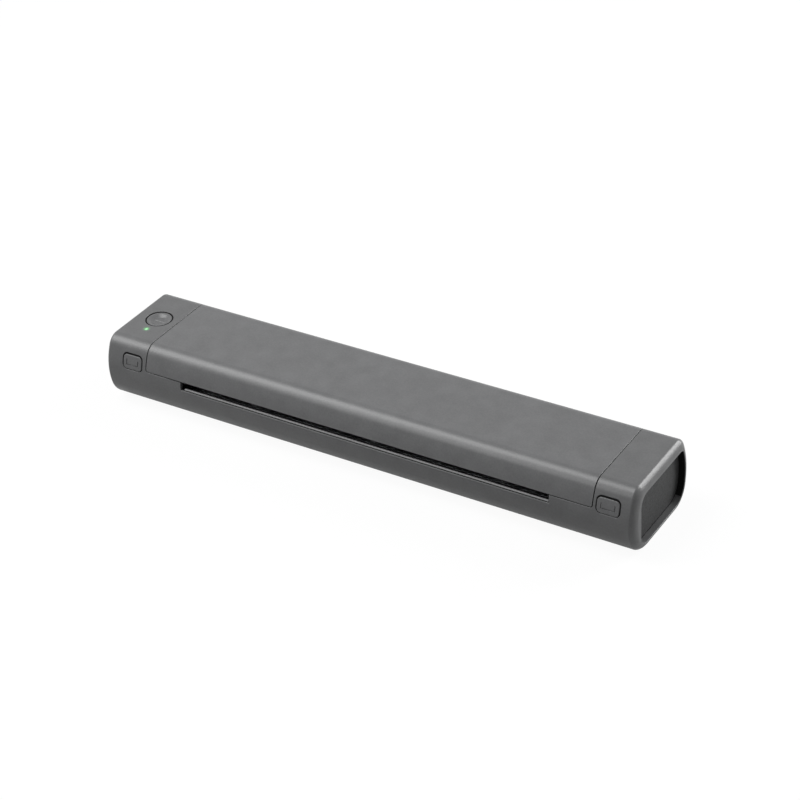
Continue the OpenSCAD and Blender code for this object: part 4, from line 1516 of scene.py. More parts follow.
    def _kept_inside(self, loop: Loop, margin: float, step: float = MM) -> Loop:
        """A loop in Y and Z drawn in where it would leave the flat of the end.

        Args:
            loop: The loop.
            margin: How far from the border of the flat it stays.
            step: Longest edge of the result.

        Returns:
            The loop, with more corners.
        """
        fine = []
        for first, last in zip(loop, np.roll(loop, -1, axis=0)):
            count = max(1, math.ceil(float(np.hypot(*(last - first))) / step))
            fine += [first + (last - first) * i / count for i in range(count)]
        section = self.surface.section
        rows = section.at(np.linspace(0, section.around, BORDER_SAMPLES)[:-1])
        border = rows[:, :2] - rows[:, 2:] * (self.surface.rim_width(rows) + margin)[:, None]
        made = []
        for point in fine:
            reach = np.einsum("ij,ij->i", point - border, rows[:, 2:])
            most = int(np.argmax(reach))
            made.append(point - rows[most, 2:] * max(float(reach[most]), 0.0))
        return np.array(made)

    def _sleeve(self) -> Skin:
        """The sleeve's outer skin with its end faces."""
        surface, size = self.surface, self.surface.size
        reach, around = surface.reach, surface.section.around
        lines = surface.lines(-reach, reach) + self._slot_lines()
        whole = box_loop(-reach, reach, 0, around)
        made = surface.skin([whole], self._holes(), size.wall, lines=lines)
        turn = np.maximum(np.abs(made.flat[:, 0]) - surface.straight, 0) / size.end_round
        extra = (size.rim_depth - size.wall) * np.sin(turn) ** self.rim_turn_power
        made.thickness = size.wall + extra
        made.thickness[self._by_the_slot(made.flat)] = self.openings.slot_wall
        outer, recess = [surface.end_loop()], [self._recess(self.edge)]
        for side in (-1, 1):
            at = side * size.half_length
            made = made.joined(flat_skin(outer, recess, Axis.X, at, side, size.rim_depth))
        return made

    def _recess_seal(self, side: int, name: str) -> bpy.types.Object:
        """Painted shade: the black edge round an end panel, high up on the recess's rear wall, that
        stands in for the shadow there.

        Args:
            side: -1 for the left end, 1 for the right one.
            name: The end's name.

        Returns:
            The object.
        """
        size = self.surface.size
        panel = side * (size.half_length - size.rim_depth)
        wide = [self._recess(-self.shade_gap)], [self._recess(-self.shade_width)]
        ring = flat_skin(*wide, Axis.X, panel + side * self.shade_lift, side, self.shade_thick)
        outer = self._recess(-self.shade_gap)
        inner = self._recess(-self.shade_gap - self.shade_wall)
        limit = outer[:, 0].max() - self.shade_reach
        start = next(i for i in range(len(outer)) if outer[i, 0] > limit >= outer[i - 1, 0])
        outer, inner = np.roll(outer, -start, axis=0), np.roll(inner, -start, axis=0)
        kept = outer[:, 0] > limit
        strip = np.vstack([outer[kept], inner[kept][::-1]])
        ends = sorted((panel, side * (size.half_length - self.shade_stop)))
        wall = prism("strip", strip, Axis.X, *ends, self.shade_gap)
        return joined(name + "_panel_seal", [ring.solid("ring", 0.0, 1), wall])

    def _slot_lines(self) -> list[Loop]:
        """Lines round the thin part of the front wall, where the tear bar's foot stands."""
        low, high = self._thin_part()
        left, right, run = self.openings.slot_left, self.openings.slot_right, MM
        sides = (left - run, left, right, right + run)
        rows = [np.array([(left - run, u), (right + run, u)]) for u in (low - run, low)]
        columns = [np.array([(w, low - run), (w, high + run)]) for w in sides]
        return rows + columns

    def _thin_part(self) -> tuple[float, float]:
        """Lowest and highest u of the thin part of the front wall."""
        section, openings = self.surface.section, self.openings
        return float(section.front_u(openings.slot_foot)), float(section.front_u(openings.slot_low))

    def _by_the_slot(self, flat: np.ndarray) -> np.ndarray:
        """Which places lie in the thin part of the front wall.

        Args:
            flat: Rows of w and u.

        Returns:
            True for each such place.
        """
        (low, high), near = self._thin_part(), 0.3 * MM
        left, right = self.openings.slot_left - near, self.openings.slot_right + near
        w, u = flat[:, 0], flat[:, 1]
        return (w > left) & (w < right) & (u > low - near) & (u < high + near)

    def _bulkhead(self, side: int) -> bpy.types.Object:
        """The wall between an end block and the bay.

        Args:
            side: -1 for the left one, 1 for the right one.

        Returns:
            The object.
        """
        openings, size = self.openings, self.surface.size
        at = openings.bay_left if side < 0 else openings.bay_right
        outline = self.surface.section.loop(size.wall - self.overlap)
        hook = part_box("left_latch_slider")
        hook_z = (hook[0].z + hook[1].z) / 2
        first, last, rise = self.hook_window
        y0, y1, z1 = self.passage
        holes = [
            box_loop(y0, y1, 0, z1),
            box_loop(hook[0].y + first, hook[0].y + last, hook_z - rise, hook_z + rise),
            box_loop(-size.half_depth, size.half_depth, 0, size.low + size.wall),
        ]
        wall = flat_skin([outline], holes, Axis.X, at, -side, self.bulkhead)
        return wall.solid("bulkhead", self.bulkhead_edge, 1)

    def _supports(self) -> list[bpy.types.Object]:
        """The paper guide's ledge, the screw tabs, the power button's shelf and two webs."""
        openings, size = self.openings, self.surface.size
        low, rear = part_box("lower_paper_guide")[0].z - self.ledge_gap, size.half_depth - size.wall
        front = openings.hinge[0] - self.ledge_front
        ledge = [(front, self.ledge_top), (rear, self.ledge_top), (rear, low), (front, low)]
        made = [prism("ledge", ledge, Axis.X, openings.slot_left, openings.slot_right)]
        bottom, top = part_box("bottom_cover"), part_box("bottom_screws")[1].z
        floor = size.low + size.wall - self.sliver
        (front_end, rear_end), half = self.tab_ends, self.tab_half
        for x in self.tabs:
            for y0, y1 in ((bottom[0].y - MM, front_end), (rear_end, bottom[1].y + MM)):
                outline = box_loop(x - half, x + half, y0, y1)
                made.append(prism("tab", outline, Axis.Z, floor, top, self.tab_edge))
        return [*made, self._button_shelf(), self._spring_web(-1), self._spring_web(1)]

    def _button_shelf(self) -> bpy.types.Object:
        """The shelf that the power button's spring stands on, with a hole for its stem."""
        low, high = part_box("power_button")
        x, y = (low.x + high.x) / 2, (low.y + high.y) / 2
        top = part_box("power_button_spring")[0].z - self.sliver
        edge, (wide, deep) = self.sliver, self.shelf_half
        right = self.openings.bay_left - MM
        outline = box_loop(x - wide + edge, right, y - deep + edge, y + deep - edge)
        hole = circle_loop((x, y), self.stem_hole + edge, 32)
        return flat_skin([outline], [hole], Axis.Z, top, 1, self.shelf).solid("shelf", edge, 1)

    def _spring_web(self, side: int) -> bpy.types.Object:
        """The wall behind a latch spring.

        Args:
            side: -1 for the left one, 1 for the right one.

        Returns:
            The object.
        """
        node = "left_release_button" if side < 0 else "right_release_button"
        button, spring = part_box(node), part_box(node.replace("release_button", "latch_spring"))
        x, z = (button[0].x + button[1].x) / 2, (button[0].z + button[1].z) / 2
        bay = self.openings.bay_left - MM if side < 0 else self.openings.bay_right + MM
        y = spring[1].y + self.sliver
        top = self.surface.size.top - self.surface.size.wall + self.sliver
        left, right = sorted((bay, x + side * self.web_half))
        outline = box_loop(left, right, z - self.web_drop, top)
        return prism("web", outline, Axis.Y, y, y + self.web, self.sliver)


@dataclass
class Cover:
    """The hinged cover with its arms, end ribs, strikers and switch prod."""

    surface: BodySurface
    openings: Openings
    finish: bpy.types.Material
    edge: float = 0.22 * MM
    side_gap: float = 0.38 * MM
    knuckle: float = 3 * MM
    knuckle_arc: tuple[float, float, int] = (30, -180, 22)
    arm_foot: tuple[float, float] = (12 * MM, 2.5 * MM)
    arm_sink: float = 0.4 * MM
    arm_edge: float = 0.25 * MM
    rib: float = 1.6 * MM
    rib_gap: float = 0.2 * MM
    rib_edge: float = 0.1 * MM
    rib_overlap: float = 0.05 * MM
    flange: float = 1.4 * MM
    hook_clear: float = 2 * MM
    striker: tuple[float, float] = (2 * MM, 3.6 * MM)
    striker_front: float = 1.6 * MM
    striker_rear: float = -24.7 * MM
    striker_lift: float = 0.2 * MM
    striker_gap: float = 1.2 * MM
    striker_lead: float = 0.6 * MM
    prod_half: float = 1 * MM
    prod_gap: float = 0.3 * MM
    small_edge: float = 0.2 * MM
    shift_run: float = 4.5 * MM

    def build(self) -> None:
        """Builds the cover's pieces."""
        shell = self._shell().solid("cover_skin", self.edge)
        fittings = [*self._ribs(), *self._arms(), *self._strikers(), self._prod()]
        inner = joined("cover_fittings", fittings)
        for piece in (shell, inner):
            piece.data.materials.append(self.finish)
            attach(piece, "cover")
            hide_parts("cover_shell")

    def _shell(self) -> Skin:
        """The cover's skin, whose rear edge follows the hinge's sweep."""
        section, openings = self.surface.section, self.openings
        centre, sweep = openings.hinge, openings.cover_sweep
        edge_u = section.rear_edge(centre, sweep) - self.edge
        low = openings.split + self.edge
        loop = openings.front_loop(section, -self.edge - self.side_gap, low, edge_u)
        made = self.surface.skin([loop], [], self.surface.size.wall)
        inner_u = section.rear_edge(centre, sweep, self.surface.size.wall)
        ramp = np.clip(1 - (edge_u - made.flat[:, 1]) / self.shift_run, 0, 1)
        rows = section.at(made.flat[:, 1])
        back = np.stack([np.zeros(len(rows)), -rows[:, 3], rows[:, 2]], axis=1)
        made.inner_shift = back * (ramp * (edge_u - inner_u + self.edge))[:, None]
        return made

    def _ribs(self) -> list[bpy.types.Object]:
        """The ribs that close the cover's two ends."""
        section, wall = self.surface.section, self.surface.size.wall
        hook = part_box("left_latch_slider")
        clear = (hook[0].z + hook[1].z) / 2 + self.hook_clear
        half = self.surface.size.half_depth
        made = []
        for at, way in ((self.openings.bay_left, 1), (self.openings.bay_right, -1)):
            outer = section.loop(wall - self.rib_overlap)
            holes = [section.loop(wall + self.flange), box_loop(-half, half, 0, clear)]
            face = at + way * (self.rib + self.rib_gap)
            rib = flat_skin([outer], holes, Axis.X, face, way, self.rib)
            made.append(rib.solid("rib", self.rib_edge, 1))
        return made

    def _arms(self) -> list[bpy.types.Object]:
        """The two hinge arms."""
        y, z = self.openings.hinge
        top = self.surface.size.top - self.surface.size.wall + self.arm_sink
        turn = [math.radians(a) for a in np.linspace(*self.knuckle_arc)]
        knuckle = [(y + self.knuckle * math.cos(a), z + self.knuckle * math.sin(a)) for a in turn]
        front, rear = self.arm_foot
        profile = [*knuckle, (y - front, top), (y - rear, top)]
        return [
            prism("arm", profile, Axis.X, x, x + self.openings.arm_width, self.arm_edge)
            for x in self.openings.arms()
        ]

    def _strikers(self) -> list[bpy.types.Object]:
        """The hooks' strikers behind the cover's front corners."""
        inset, width = self.striker
        y0, y1 = -self.surface.size.half_depth + self.striker_front, self.striker_rear
        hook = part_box("left_latch_slider")
        z0 = self.openings.split + self.striker_lift
        z1 = (hook[0].z + hook[1].z) / 2 - self.striker_gap
        profile = [(y0, z0), (y1, z0), (y1, z1), (y0 + self.striker_lead, z1)]
        left, right = self.openings.bay_left + inset, self.openings.bay_right - inset
        return [
            prism("striker", profile, Axis.X, low, low + width, self.small_edge)
            for low in (left, right - width)
        ]

    def _prod(self) -> bpy.types.Object:
        """The prod that presses the cover switch."""
        low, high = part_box("cover_switch")
        x, y, half = (low.x + high.x) / 2, (low.y + high.y) / 2, self.prod_half
        outline = box_loop(x - half, x + half, y - half, y + half)
        top = self.surface.size.top - self.surface.size.wall + self.prod_gap
        return prism("prod", outline, Axis.Z, high.z + self.prod_gap, top, self.small_edge)


@dataclass(frozen=True)
class ShadeRingSize:
    """How far a button's ring of painted shade reaches under the button and past it, and its
    thickness.
    """

    tuck: float = 0.08 * MM
    past: float = 0.26 * MM
    thick: float = 0.3 * MM


@dataclass
class ReleaseButton:
    """A release button, with the open outline pressed into its face."""

    node: str
    body: str
    surface: BodySurface
    finish: bpy.types.Material
    shade_ring: bpy.types.Material
    edge: float = 0.5 * MM
    gap: float = 0.2 * MM
    shift: tuple[float, float] = (-0.15 * MM, -0.35 * MM)
    corner: float = 2.4 * MM
    corner_steps: int = 9
    sink: float = 0.05 * MM
    shade_ring_size: ShadeRingSize = ShadeRingSize()
    shade_ring_sink: float = 0.16 * MM
    mark_width: float = 7.6 * MM
    mark_height: float = 2.9 * MM
    mark_line: float = 0.42 * MM
    mark_depth: float = 0.3 * MM
    mark_edge: float = 0.1 * MM
    mark_border: float = 0.15 * MM
    mark_floor: float = 0.2 * MM
    mark_field: tuple[float, float, float] = (8 * MM, 5 * MM, 1 * MM)

    def build(self) -> None:
        """Builds the button."""
        low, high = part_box(self.node)
        middle = ((low.x + high.x) / 2, (low.z + high.z) / 2)
        centre = (middle[0] + self.shift[0], middle[1] + self.shift[1])
        width, height = high.x - low.x, high.z - low.z
        shrink, skin = self.edge + self.gap, self.surface.skin
        face = width - 2 * shrink, height - 2 * shrink
        outline = self._outline(centre, *face, self.corner - shrink)
        lines = [np.array([(low.x, u), (high.x, u)]) for u in self.surface.section.rows()]
        cap = skin([outline], [self._mark(centre, self.mark_edge)], 0, self.sink, lines)
        back = np.zeros_like(cap.points)
        back[:, 1] = high.y - cap.points[:, 1]
        cap.inner_shift = back
        by_the_mark = in_loop(self._flat(rounded_loop(centre, *self.mark_field)), cap.flat)
        cap.rounding = np.where(by_the_mark, self.mark_edge, self.edge)
        sunk = self._mark(centre, self.mark_border)
        floor = skin([sunk], [], self.mark_floor, self.sink + self.mark_depth, lines)
        solids = [cap.solid("cap", self.edge, 4), floor.solid("floor", 0.0, 1)]
        piece = joined(self.node + "_cap", solids)
        piece.data.materials.append(self.finish)
        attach(piece, self.body)
        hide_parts(self.node)
        # Painted shade: a black ring just under the gap round the cap stands in for the shadow down
        # in the gap.
        slack, rim = 2 * (self.gap - self.shade_ring_size.tuck), 2 * self.shade_ring_size.past
        inner = self._outline(centre, width - slack, height - slack, self.corner)
        outer = self._outline(middle, width + rim, height + rim, self.corner + rim / 2)
        ring = skin([outer], [inner], self.shade_ring_size.thick, self.shade_ring_sink, lines)
        shade_ring = ring.solid(self.node + "_seal", 0.0, 1)
        shade_ring.data.materials.append(self.shade_ring)
        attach(shade_ring, "base")

    def _outline(
        self, centre: tuple[float, float], width: float, height: float, radius: float
    ) -> Loop:
        """A rounded rectangle on the front, in w and u."""
        return self._flat(rounded_loop(centre, width, height, radius, self.corner_steps))

    def _flat(self, loop: Loop) -> Loop:
        """A loop in X and Z as one in w and u."""
        return np.stack([loop[:, 0], self.surface.section.front_u(loop[:, 1])], axis=1)

    def _mark(self, centre: tuple[float, float], grow: float) -> Loop:
        """The open outline on the face.

        Args:
            centre: Its centre in X and Z.
            grow: How much wider than the pressed line it is drawn, on each side.

        Returns:
            The loop in w and u.
        """
        half, rise = self.mark_width / 2 + grow, self.mark_height / 2 + grow
        line = self.mark_line + 2 * grow
        corners = [
            (-half, rise), (-half, -rise), (half, -rise), (half, rise), (half - line, rise),
            (half - line, line - rise), (line - half, line - rise), (line - half, rise),
        ]
        return self._flat(np.array([(centre[0] + x, centre[1] + z) for x, z in corners]))


@dataclass
class PowerButton:
    """The round power button: a flat floor, a sloping rim and a short raised mark."""

    finish: bpy.types.Material
    shade_ring: bpy.types.Material
    top: float
    mark_highlight_finish: bpy.types.Material
    edge: float = 0.3 * MM
    gap: float = 0.42 * MM
    cap: float = 2.8 * MM
    stem: float = 1.6 * MM
    floor: float = 2.9 * MM
    lip: float = 6.2 * MM
    dish_depth: float = 1.4 * MM
    ring_shares: tuple[float, ...] = (0.2, 0.38, *np.linspace(0.48, 0.97, 15))
    ring_points: int = 72
    rim_points: int = 96
    mark: tuple[float, float, float] = (6 * MM, 0.34 * MM, 0.07 * MM)
    mark_foot: float = 0.2 * MM
    mark_edge: float = 0.03 * MM
    shade_ring_size: ShadeRingSize = ShadeRingSize()
    shade_ring_sink: float = 0.15 * MM

    def build(self) -> None:
        """Builds the button."""
        low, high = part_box("power_button")
        centre = ((low.x + high.x) / 2, (low.y + high.y) / 2)
        radius = (high.x - low.x) / 2 - self.edge - self.gap
        radii = [radius * share for share in self.ring_shares]
        rings = [circle_loop(centre, ring_radius, self.ring_points) for ring_radius in radii]
        lines = [np.vstack([ring, ring[:1]]) for ring in rings]
        rim = circle_loop(centre, radius, self.rim_points)
        face = flat_skin([rim], [], Axis.Z, high.z, 1, self.cap, lines)
        away = face.points[:, :2] - np.array(centre)
        reach = np.hypot(*away.T)
        share = np.clip((reach - self.floor) / (self.lip - self.floor), 0, 1)
        face.points[:, 2] = high.z - self.dish_depth * (1 - share**2 * (3 - 2 * share))
        rise = self.dish_depth * 6 * share * (1 - share) / (self.lip - self.floor)
        slope = away * (rise / np.maximum(reach, 0.1 * MM))[:, None]
        normals = np.hstack([-slope, np.ones((len(slope), 1))])
        face.normals = normals / np.linalg.norm(normals, axis=1, keepdims=True)
        length, width, proud = self.mark
        bar = rounded_loop(centre, length, width, width / 2 - 0.01 * MM, 6)
        floor = high.z - self.dish_depth
        ends = floor - self.mark_foot, floor + proud
        # Painted highlight: the raised mark is a lighter grey than the cap, standing in for the
        # light that it catches.
        raised = prism("power_button_mark", bar, Axis.Z, *ends, self.mark_edge)
        raised.data.materials.append(self.mark_highlight_finish)
        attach(raised, "power_key")
        foot = low.z - high.z
        profile = [(0, foot), (self.stem, foot), (self.stem, -self.cap), (0, -self.cap)]
        stem = turned("stem", profile, Vector((*centre, high.z)), Axis.Z)
        piece = joined("power_button_cap", [face.solid("cap", self.edge, 4), stem])
        piece.data.materials.append(self.finish)
        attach(piece, "power_key")
        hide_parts("power_button")
        # Painted shade: a black ring just under the gap round the cap stands in for the shadow down
        # in the gap.
        half, size = (high.x - low.x) / 2, self.shade_ring_size
        outer = circle_loop(centre, half + size.past, self.rim_points)
        inner = circle_loop(centre, half - self.gap + size.tuck, self.rim_points)
        ring = flat_skin([outer], [inner], Axis.Z, self.top - self.shade_ring_sink, 1, size.thick)
        shade_ring = ring.solid("power_button_seal", 0.0, 1)
        shade_ring.data.materials.append(self.shade_ring)
        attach(shade_ring, "base")


@dataclass
class StatusLight:
    """The light pipe in the top, with its domed end."""

    finish: bpy.types.Material
    skirt: float = 1.9 * MM
    skirt_top: float = 2.25 * MM
    skirt_low: float = 3.4 * MM
    dome: tuple[tuple[float, float], ...] = (
        (0, 0), (0.55, 0.03 * MM), (0.85, 0.12 * MM), (1, 0.3 * MM),
    )

    def build(self) -> None:
        """Builds the pipe."""
        low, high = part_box("status_light_pipe")
        centre = Vector(((low.x + high.x) / 2, (low.y + high.y) / 2, high.z))
        radius = STATUS_LIGHT_RADIUS
        profile = [
            *((share * radius, -drop) for share, drop in self.dome),
            (radius, -self.skirt_top), (self.skirt, -self.skirt_top), (self.skirt, -self.skirt_low),
            (radius, -self.skirt_low), (radius, low.z - high.z), (0, low.z - high.z),
        ]
        piece = turned("status_light_lens", profile, centre, Axis.Z, 48)
        piece.data.materials.append(self.finish)
        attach(piece, "base")
        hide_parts("status_light_pipe")


@dataclass
class EndPanels:
    """The recessed panels that close the two ends."""

    surface: BodySurface
    finish: bpy.types.Material
    thickness: float = 2.3 * MM
    edge: float = 0.12 * MM
    clear: float = 0.2 * MM
    socket_gap: float = 0.1 * MM

    def build(self) -> None:
        """Builds both panels."""
        section, size = self.surface.section, self.surface.size
        outline = section.loop(size.wall + self.clear)
        for side, node in ((-1, "left_end_panel"), (1, "right_end_panel")):
            holes = [self._socket_hole()] if side < 0 else []
            at = side * (size.half_length - size.rim_depth)
            face = flat_skin([outline], holes, Axis.X, at, side, self.thickness)
            piece = face.solid(node + "_plate", self.edge, 2)
            piece.data.materials.append(self.finish)
            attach(piece, "base")
            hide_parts(node)

    def _socket_hole(self) -> Loop:
        """The hole for the charging socket, in Y and Z."""
        low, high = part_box("usb_c_socket")
        centre = ((low.y + high.y) / 2, (low.z + high.z) / 2)
        grow = 2 * (self.socket_gap + self.edge)
        width, height = high.y - low.y + grow, high.z - low.z + grow
        return rounded_loop(centre, width, height, height / 2 - 0.01 * MM, 12)


@dataclass
class TearBar:
    """The lip under the paper slot, whose light grey is a painted highlight for the light that it
    catches.
    """

    finish: bpy.types.Material
    lip: float = 0.68 * MM
    lip_top: float = 0.7 * MM
    foot: float = 1 * MM
    shoulder: float = 1.1 * MM
    edge: float = 0.12 * MM

    def build(self) -> None:
        """Builds the bar."""
        low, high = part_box("tear_bar")
        under, inner = high.z - self.lip, high.y - self.foot
        profile = [
            (low.y, under), (inner, under), (inner, low.z), (high.y, low.z),
            (high.y, high.z - self.shoulder), (low.y + self.lip_top, high.z), (low.y, high.z),
        ]
        blade = prism("blade", profile, Axis.X, low.x, high.x, self.edge)
        piece = joined("tear_bar_blade", [blade])
        piece.data.materials.append(self.finish)
        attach(piece, "base")
        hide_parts("tear_bar")


@dataclass
class Feet:
    """The four rubber feet, with rounded edges."""

    finish: bpy.types.Material
    radius: float = 4 * MM
    round: float = 0.35 * MM

    def build(self) -> None:
        """Builds the feet."""
        low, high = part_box("rubber_feet")
        height = high.z - low.z
        edge = [
            (self.radius - self.round * (1 - math.sin(a)), self.round * (1 - math.cos(a)))
            for a in np.linspace(0, QUARTER_TURN, 6)
        ]
        profile = [(0, 0), *edge, (self.radius, height), (0, height)]
        xs = (low.x + self.radius, high.x - self.radius)
        ys = (low.y + self.radius, high.y - self.radius)
        feet = [turned("foot", profile, Vector((x, y, low.z)), Axis.Z, 48) for x in xs for y in ys]
        piece = joined("rubber_foot_pads", feet)
        piece.data.materials.append(self.finish)
        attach(piece, "base")
        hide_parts("rubber_feet")


@dataclass
class Springs:
    """The coil springs of the print head and the buttons."""

    finish: bpy.types.Material
    wire: float = 0.3 * MM
    head_travel: float = 0.38 * MM
    power_travel: float = 0.6 * MM
    latch_travel: float = 1.8 * MM

    def build(self) -> None:
        """Builds all springs."""
        low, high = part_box("head_springs")
        radius = (high.y - low.y) / 2 - self.wire
        y = (low.y + high.y) / 2
        xs = np.linspace(low.x + radius + self.wire, high.x - radius - self.wire, 3)
        head = [
            coil("spring", Vector((x, y, low.z)), Axis.Z, high.z - low.z, radius, self.wire, 4)
            for x in xs
        ]
        piece = joined("head_spring_coils", head)
        self._dress(piece, "head_springs")
        length = high.z - low.z
        1 - self.head_travel / length
        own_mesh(piece)
        for node, axis, turns in (
            ("power_button_spring", Axis.Z, 4),
            ("left_latch_spring", Axis.Y, 5),
            ("right_latch_spring", Axis.Y, 5),
        ):
            low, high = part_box(node)
            middle, along = (low + high) / 2, axis.value
            start = middle.copy()
            start[along] = low[along]
            radius = (high.x - low.x) / 2 - self.wire
            length = high[along] - low[along]
            piece = coil(node + "_coil", start, axis, length, radius, self.wire, turns)
            self._dress(piece, node)
            if axis is Axis.Z:
                joint, travel = "power_press", self.power_travel
            else:
                joint, travel = node.replace("latch_spring", "release_press"), self.latch_travel
            1 - travel / length
            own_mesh(piece)

    def _dress(self, piece: bpy.types.Object, node: str) -> None:
        """Gives a spring its finish and its node's body.

        Args:
            piece: The spring.
            node: The node that it stands for.
        """
        piece.data.materials.append(self.finish)
        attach(piece, frame["nodes"][node]["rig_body"])
        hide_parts(node)


@dataclass
class Mechanism:
    """The CAD parts that stay as they are and get their finishes."""

    finishes: dict[str, bpy.types.Material]
    nodes: dict[str, tuple[str, ...]]
    rounded: float = 0.12 * MM

    def build(self) -> None:
        """Dresses every node and takes the sharpness off its edges."""
        for finish, nodes in self.nodes.items():
            for node in nodes:
                piece = frame["nodes"][node]
                piece.data.materials.clear()
                piece.data.materials.append(self.finishes[finish])
                weld = piece.modifiers.new("weld", "WELD")
                weld.merge_threshold = 0.001 * MM
                soften(piece, self.rounded)


@dataclass(frozen=True)
class SoftBox:
    """A large rectangular lamp."""

    name: str
    azimuth: float
    elevation: float
    distance: float
    width: float
    height: float
    watts: float

    def build(self) -> None:
        """Hangs the lamp and points it at the object."""
        data = bpy.data.lights.new(self.name, "AREA")
        data.shape, data.energy = "RECTANGLE", self.watts
        data.size, data.size_y = self.width, self.height
        lamp = bpy.data.objects.new(self.name, data)
        a, e = math.radians(self.azimuth), math.radians(self.elevation)
        back = Vector((math.sin(a) * math.cos(e), -math.cos(a) * math.cos(e), math.sin(e)))
        lamp.location = back * self.distance
        lamp.rotation_mode = "QUATERNION"
        lamp.rotation_quaternion = (-back).to_track_quat("-Z", "Y")
        bpy.context.scene.collection.objects.link(lamp)


@dataclass(frozen=True)
class CameraFit:
    """The photograph's camera, fitted to the body's outline."""

    azimuth: float = 33.955
    elevation: float = 33.389
    roll: float = 4.037
    distance: float = 1094.603 * MM
    focal_px: float = 2170.834
    frame_px: float = 800.0
    aside: float = -8.292 * MM
    down: float = 7.303 * MM
    target: tuple[float, float, float] = (0, 0, 20 * MM)
    sensor: float = 36.0

    def build(self) -> None:
        """Makes the scene's camera."""
        a, e, r = (math.radians(v) for v in (self.azimuth, self.elevation, self.roll))
        back = Vector((math.sin(a) * math.cos(e), -math.cos(a) * math.cos(e), math.sin(e)))
        ahead = -back
        level = ahead.cross(Vector((0, 0, 1))).normalized()
        below = ahead.cross(level)
        right = level * math.cos(r) + below * math.sin(r)
        down = below * math.cos(r) - level * math.sin(r)
        data = bpy.data.cameras.new("photo_camera")
        data.sensor_width = self.sensor
        data.lens = self.focal_px * self.sensor / self.frame_px
        data.clip_start, data.clip_end = 0.05, 50
        camera = bpy.data.objects.new("photo_camera", data)
        place = Vector(self.target) + back * self.distance - right * self.aside - down * self.down
        turn = Matrix((right, -down, -ahead)).transposed()
        camera.matrix_world = Matrix.Translation(place) @ turn.to_4x4()
        bpy.context.scene.collection.objects.link(camera)
        bpy.context.scene.camera = camera


@dataclass
class Studio:
    """Floor, white surroundings, soft boxes and camera."""

    floor_size: float = 8.0
    floor_grey: float = 0.9
    floor_bounce: float = 0.25
    floor_lift: float = 0.94
    gloss_lift: float = 0.32
    mirror_share: float = 0.75
    ambient: float = 0.26
    lamps: tuple[SoftBox, ...] = (
        SoftBox("overhead_box", -66, 57, distance=1.4, width=0.7, height=1.2, watts=17.5),
        SoftBox("front_left_box", -28, 39, distance=1.3, width=0.5, height=0.4, watts=2.3),
        SoftBox("rear_right_box", 142, 22, distance=1.3, width=0.5, height=1.1, watts=18.5),
    )

    def build(self) -> None:
        """Builds the studio."""
        bpy.context.scene.view_settings.view_transform = "Standard"
        self._world()
        self._floor()
        for lamp in self.lamps:
            lamp.build()
        CameraFit().build()

    def _world(self) -> None:
        """White for what the camera and reflections see, and dimmer as a light."""
        world = bpy.data.worlds.new("studio")
        bpy.context.scene.world = world
        kit = NodeKit(world)
        kit.tree.nodes.clear()
        camera, glossy, through = self._ray_kinds(kit)
        seen = kit.add("ShaderNodeClamp", {}, {"Value": camera + through + glossy})
        dim = kit.add("ShaderNodeBackground", {}, {"Color": rgba(WHITE), "Strength": self.ambient})
        bright = kit.add("ShaderNodeBackground", {}, {"Color": rgba(WHITE), "Strength": 1.0})
        mixed = kit.add("ShaderNodeMixShader", {}, {0: seen, 1: dim, 2: bright})
        out = kit.tree.nodes.new("ShaderNodeOutputWorld")
        kit.feed(out.inputs["Surface"], mixed)

    def _ray_kinds(self, kit: NodeKit) -> tuple[Value, Value, Value]:
        """Which rays come from the camera, from a reflection and through glass.

        Args:
            kit: The material's or world's nodes.

        Returns:
            1 or 0 for each of the three.
        """
        camera = kit.add("ShaderNodeLightPath", output="Is Camera Ray")
        kinds = camera.socket.node.outputs
        return camera, Value(kit, kinds["Is Glossy Ray"]), Value(kit, kinds["Is Transmission Ray"])

    def _floor(self) -> None:
        """A pale floor that shows white and keeps the shadow."""
        half = self.floor_size / 2
        points = np.array([(-half, -half, 0), (half, -half, 0), (half, half, 0), (-half, half, 0)])
        floor = finish_mesh("floor", points, [[0, 1, 2, 3]])
        kit = MaterialKit("floor_card")
        camera, glossy, through = self._ray_kinds(kit)
        mirrored = glossy + through
        seen = camera + mirrored * self.mirror_share
        lift = camera * self.floor_lift + mirrored * self.gloss_lift
        shade = kit.mix(seen, rgba(WHITE, self.floor_bounce), rgba(WHITE, self.floor_grey))
        kit.set(Base_Color=shade, Roughness=0.9, Specular_IOR_Level=0.0)
        glow = kit.add("ShaderNodeEmission", {}, {"Color": rgba(WHITE), "Strength": 1.0})
        surface = Value(kit, kit.shader.outputs[0])
        mixed = kit.add("ShaderNodeMixShader", {}, {0: lift, 1: surface, 2: glow})
        kit.feed(kit.tree.nodes["Material Output"].inputs["Surface"], mixed)
        floor.data.materials.append(kit.material)


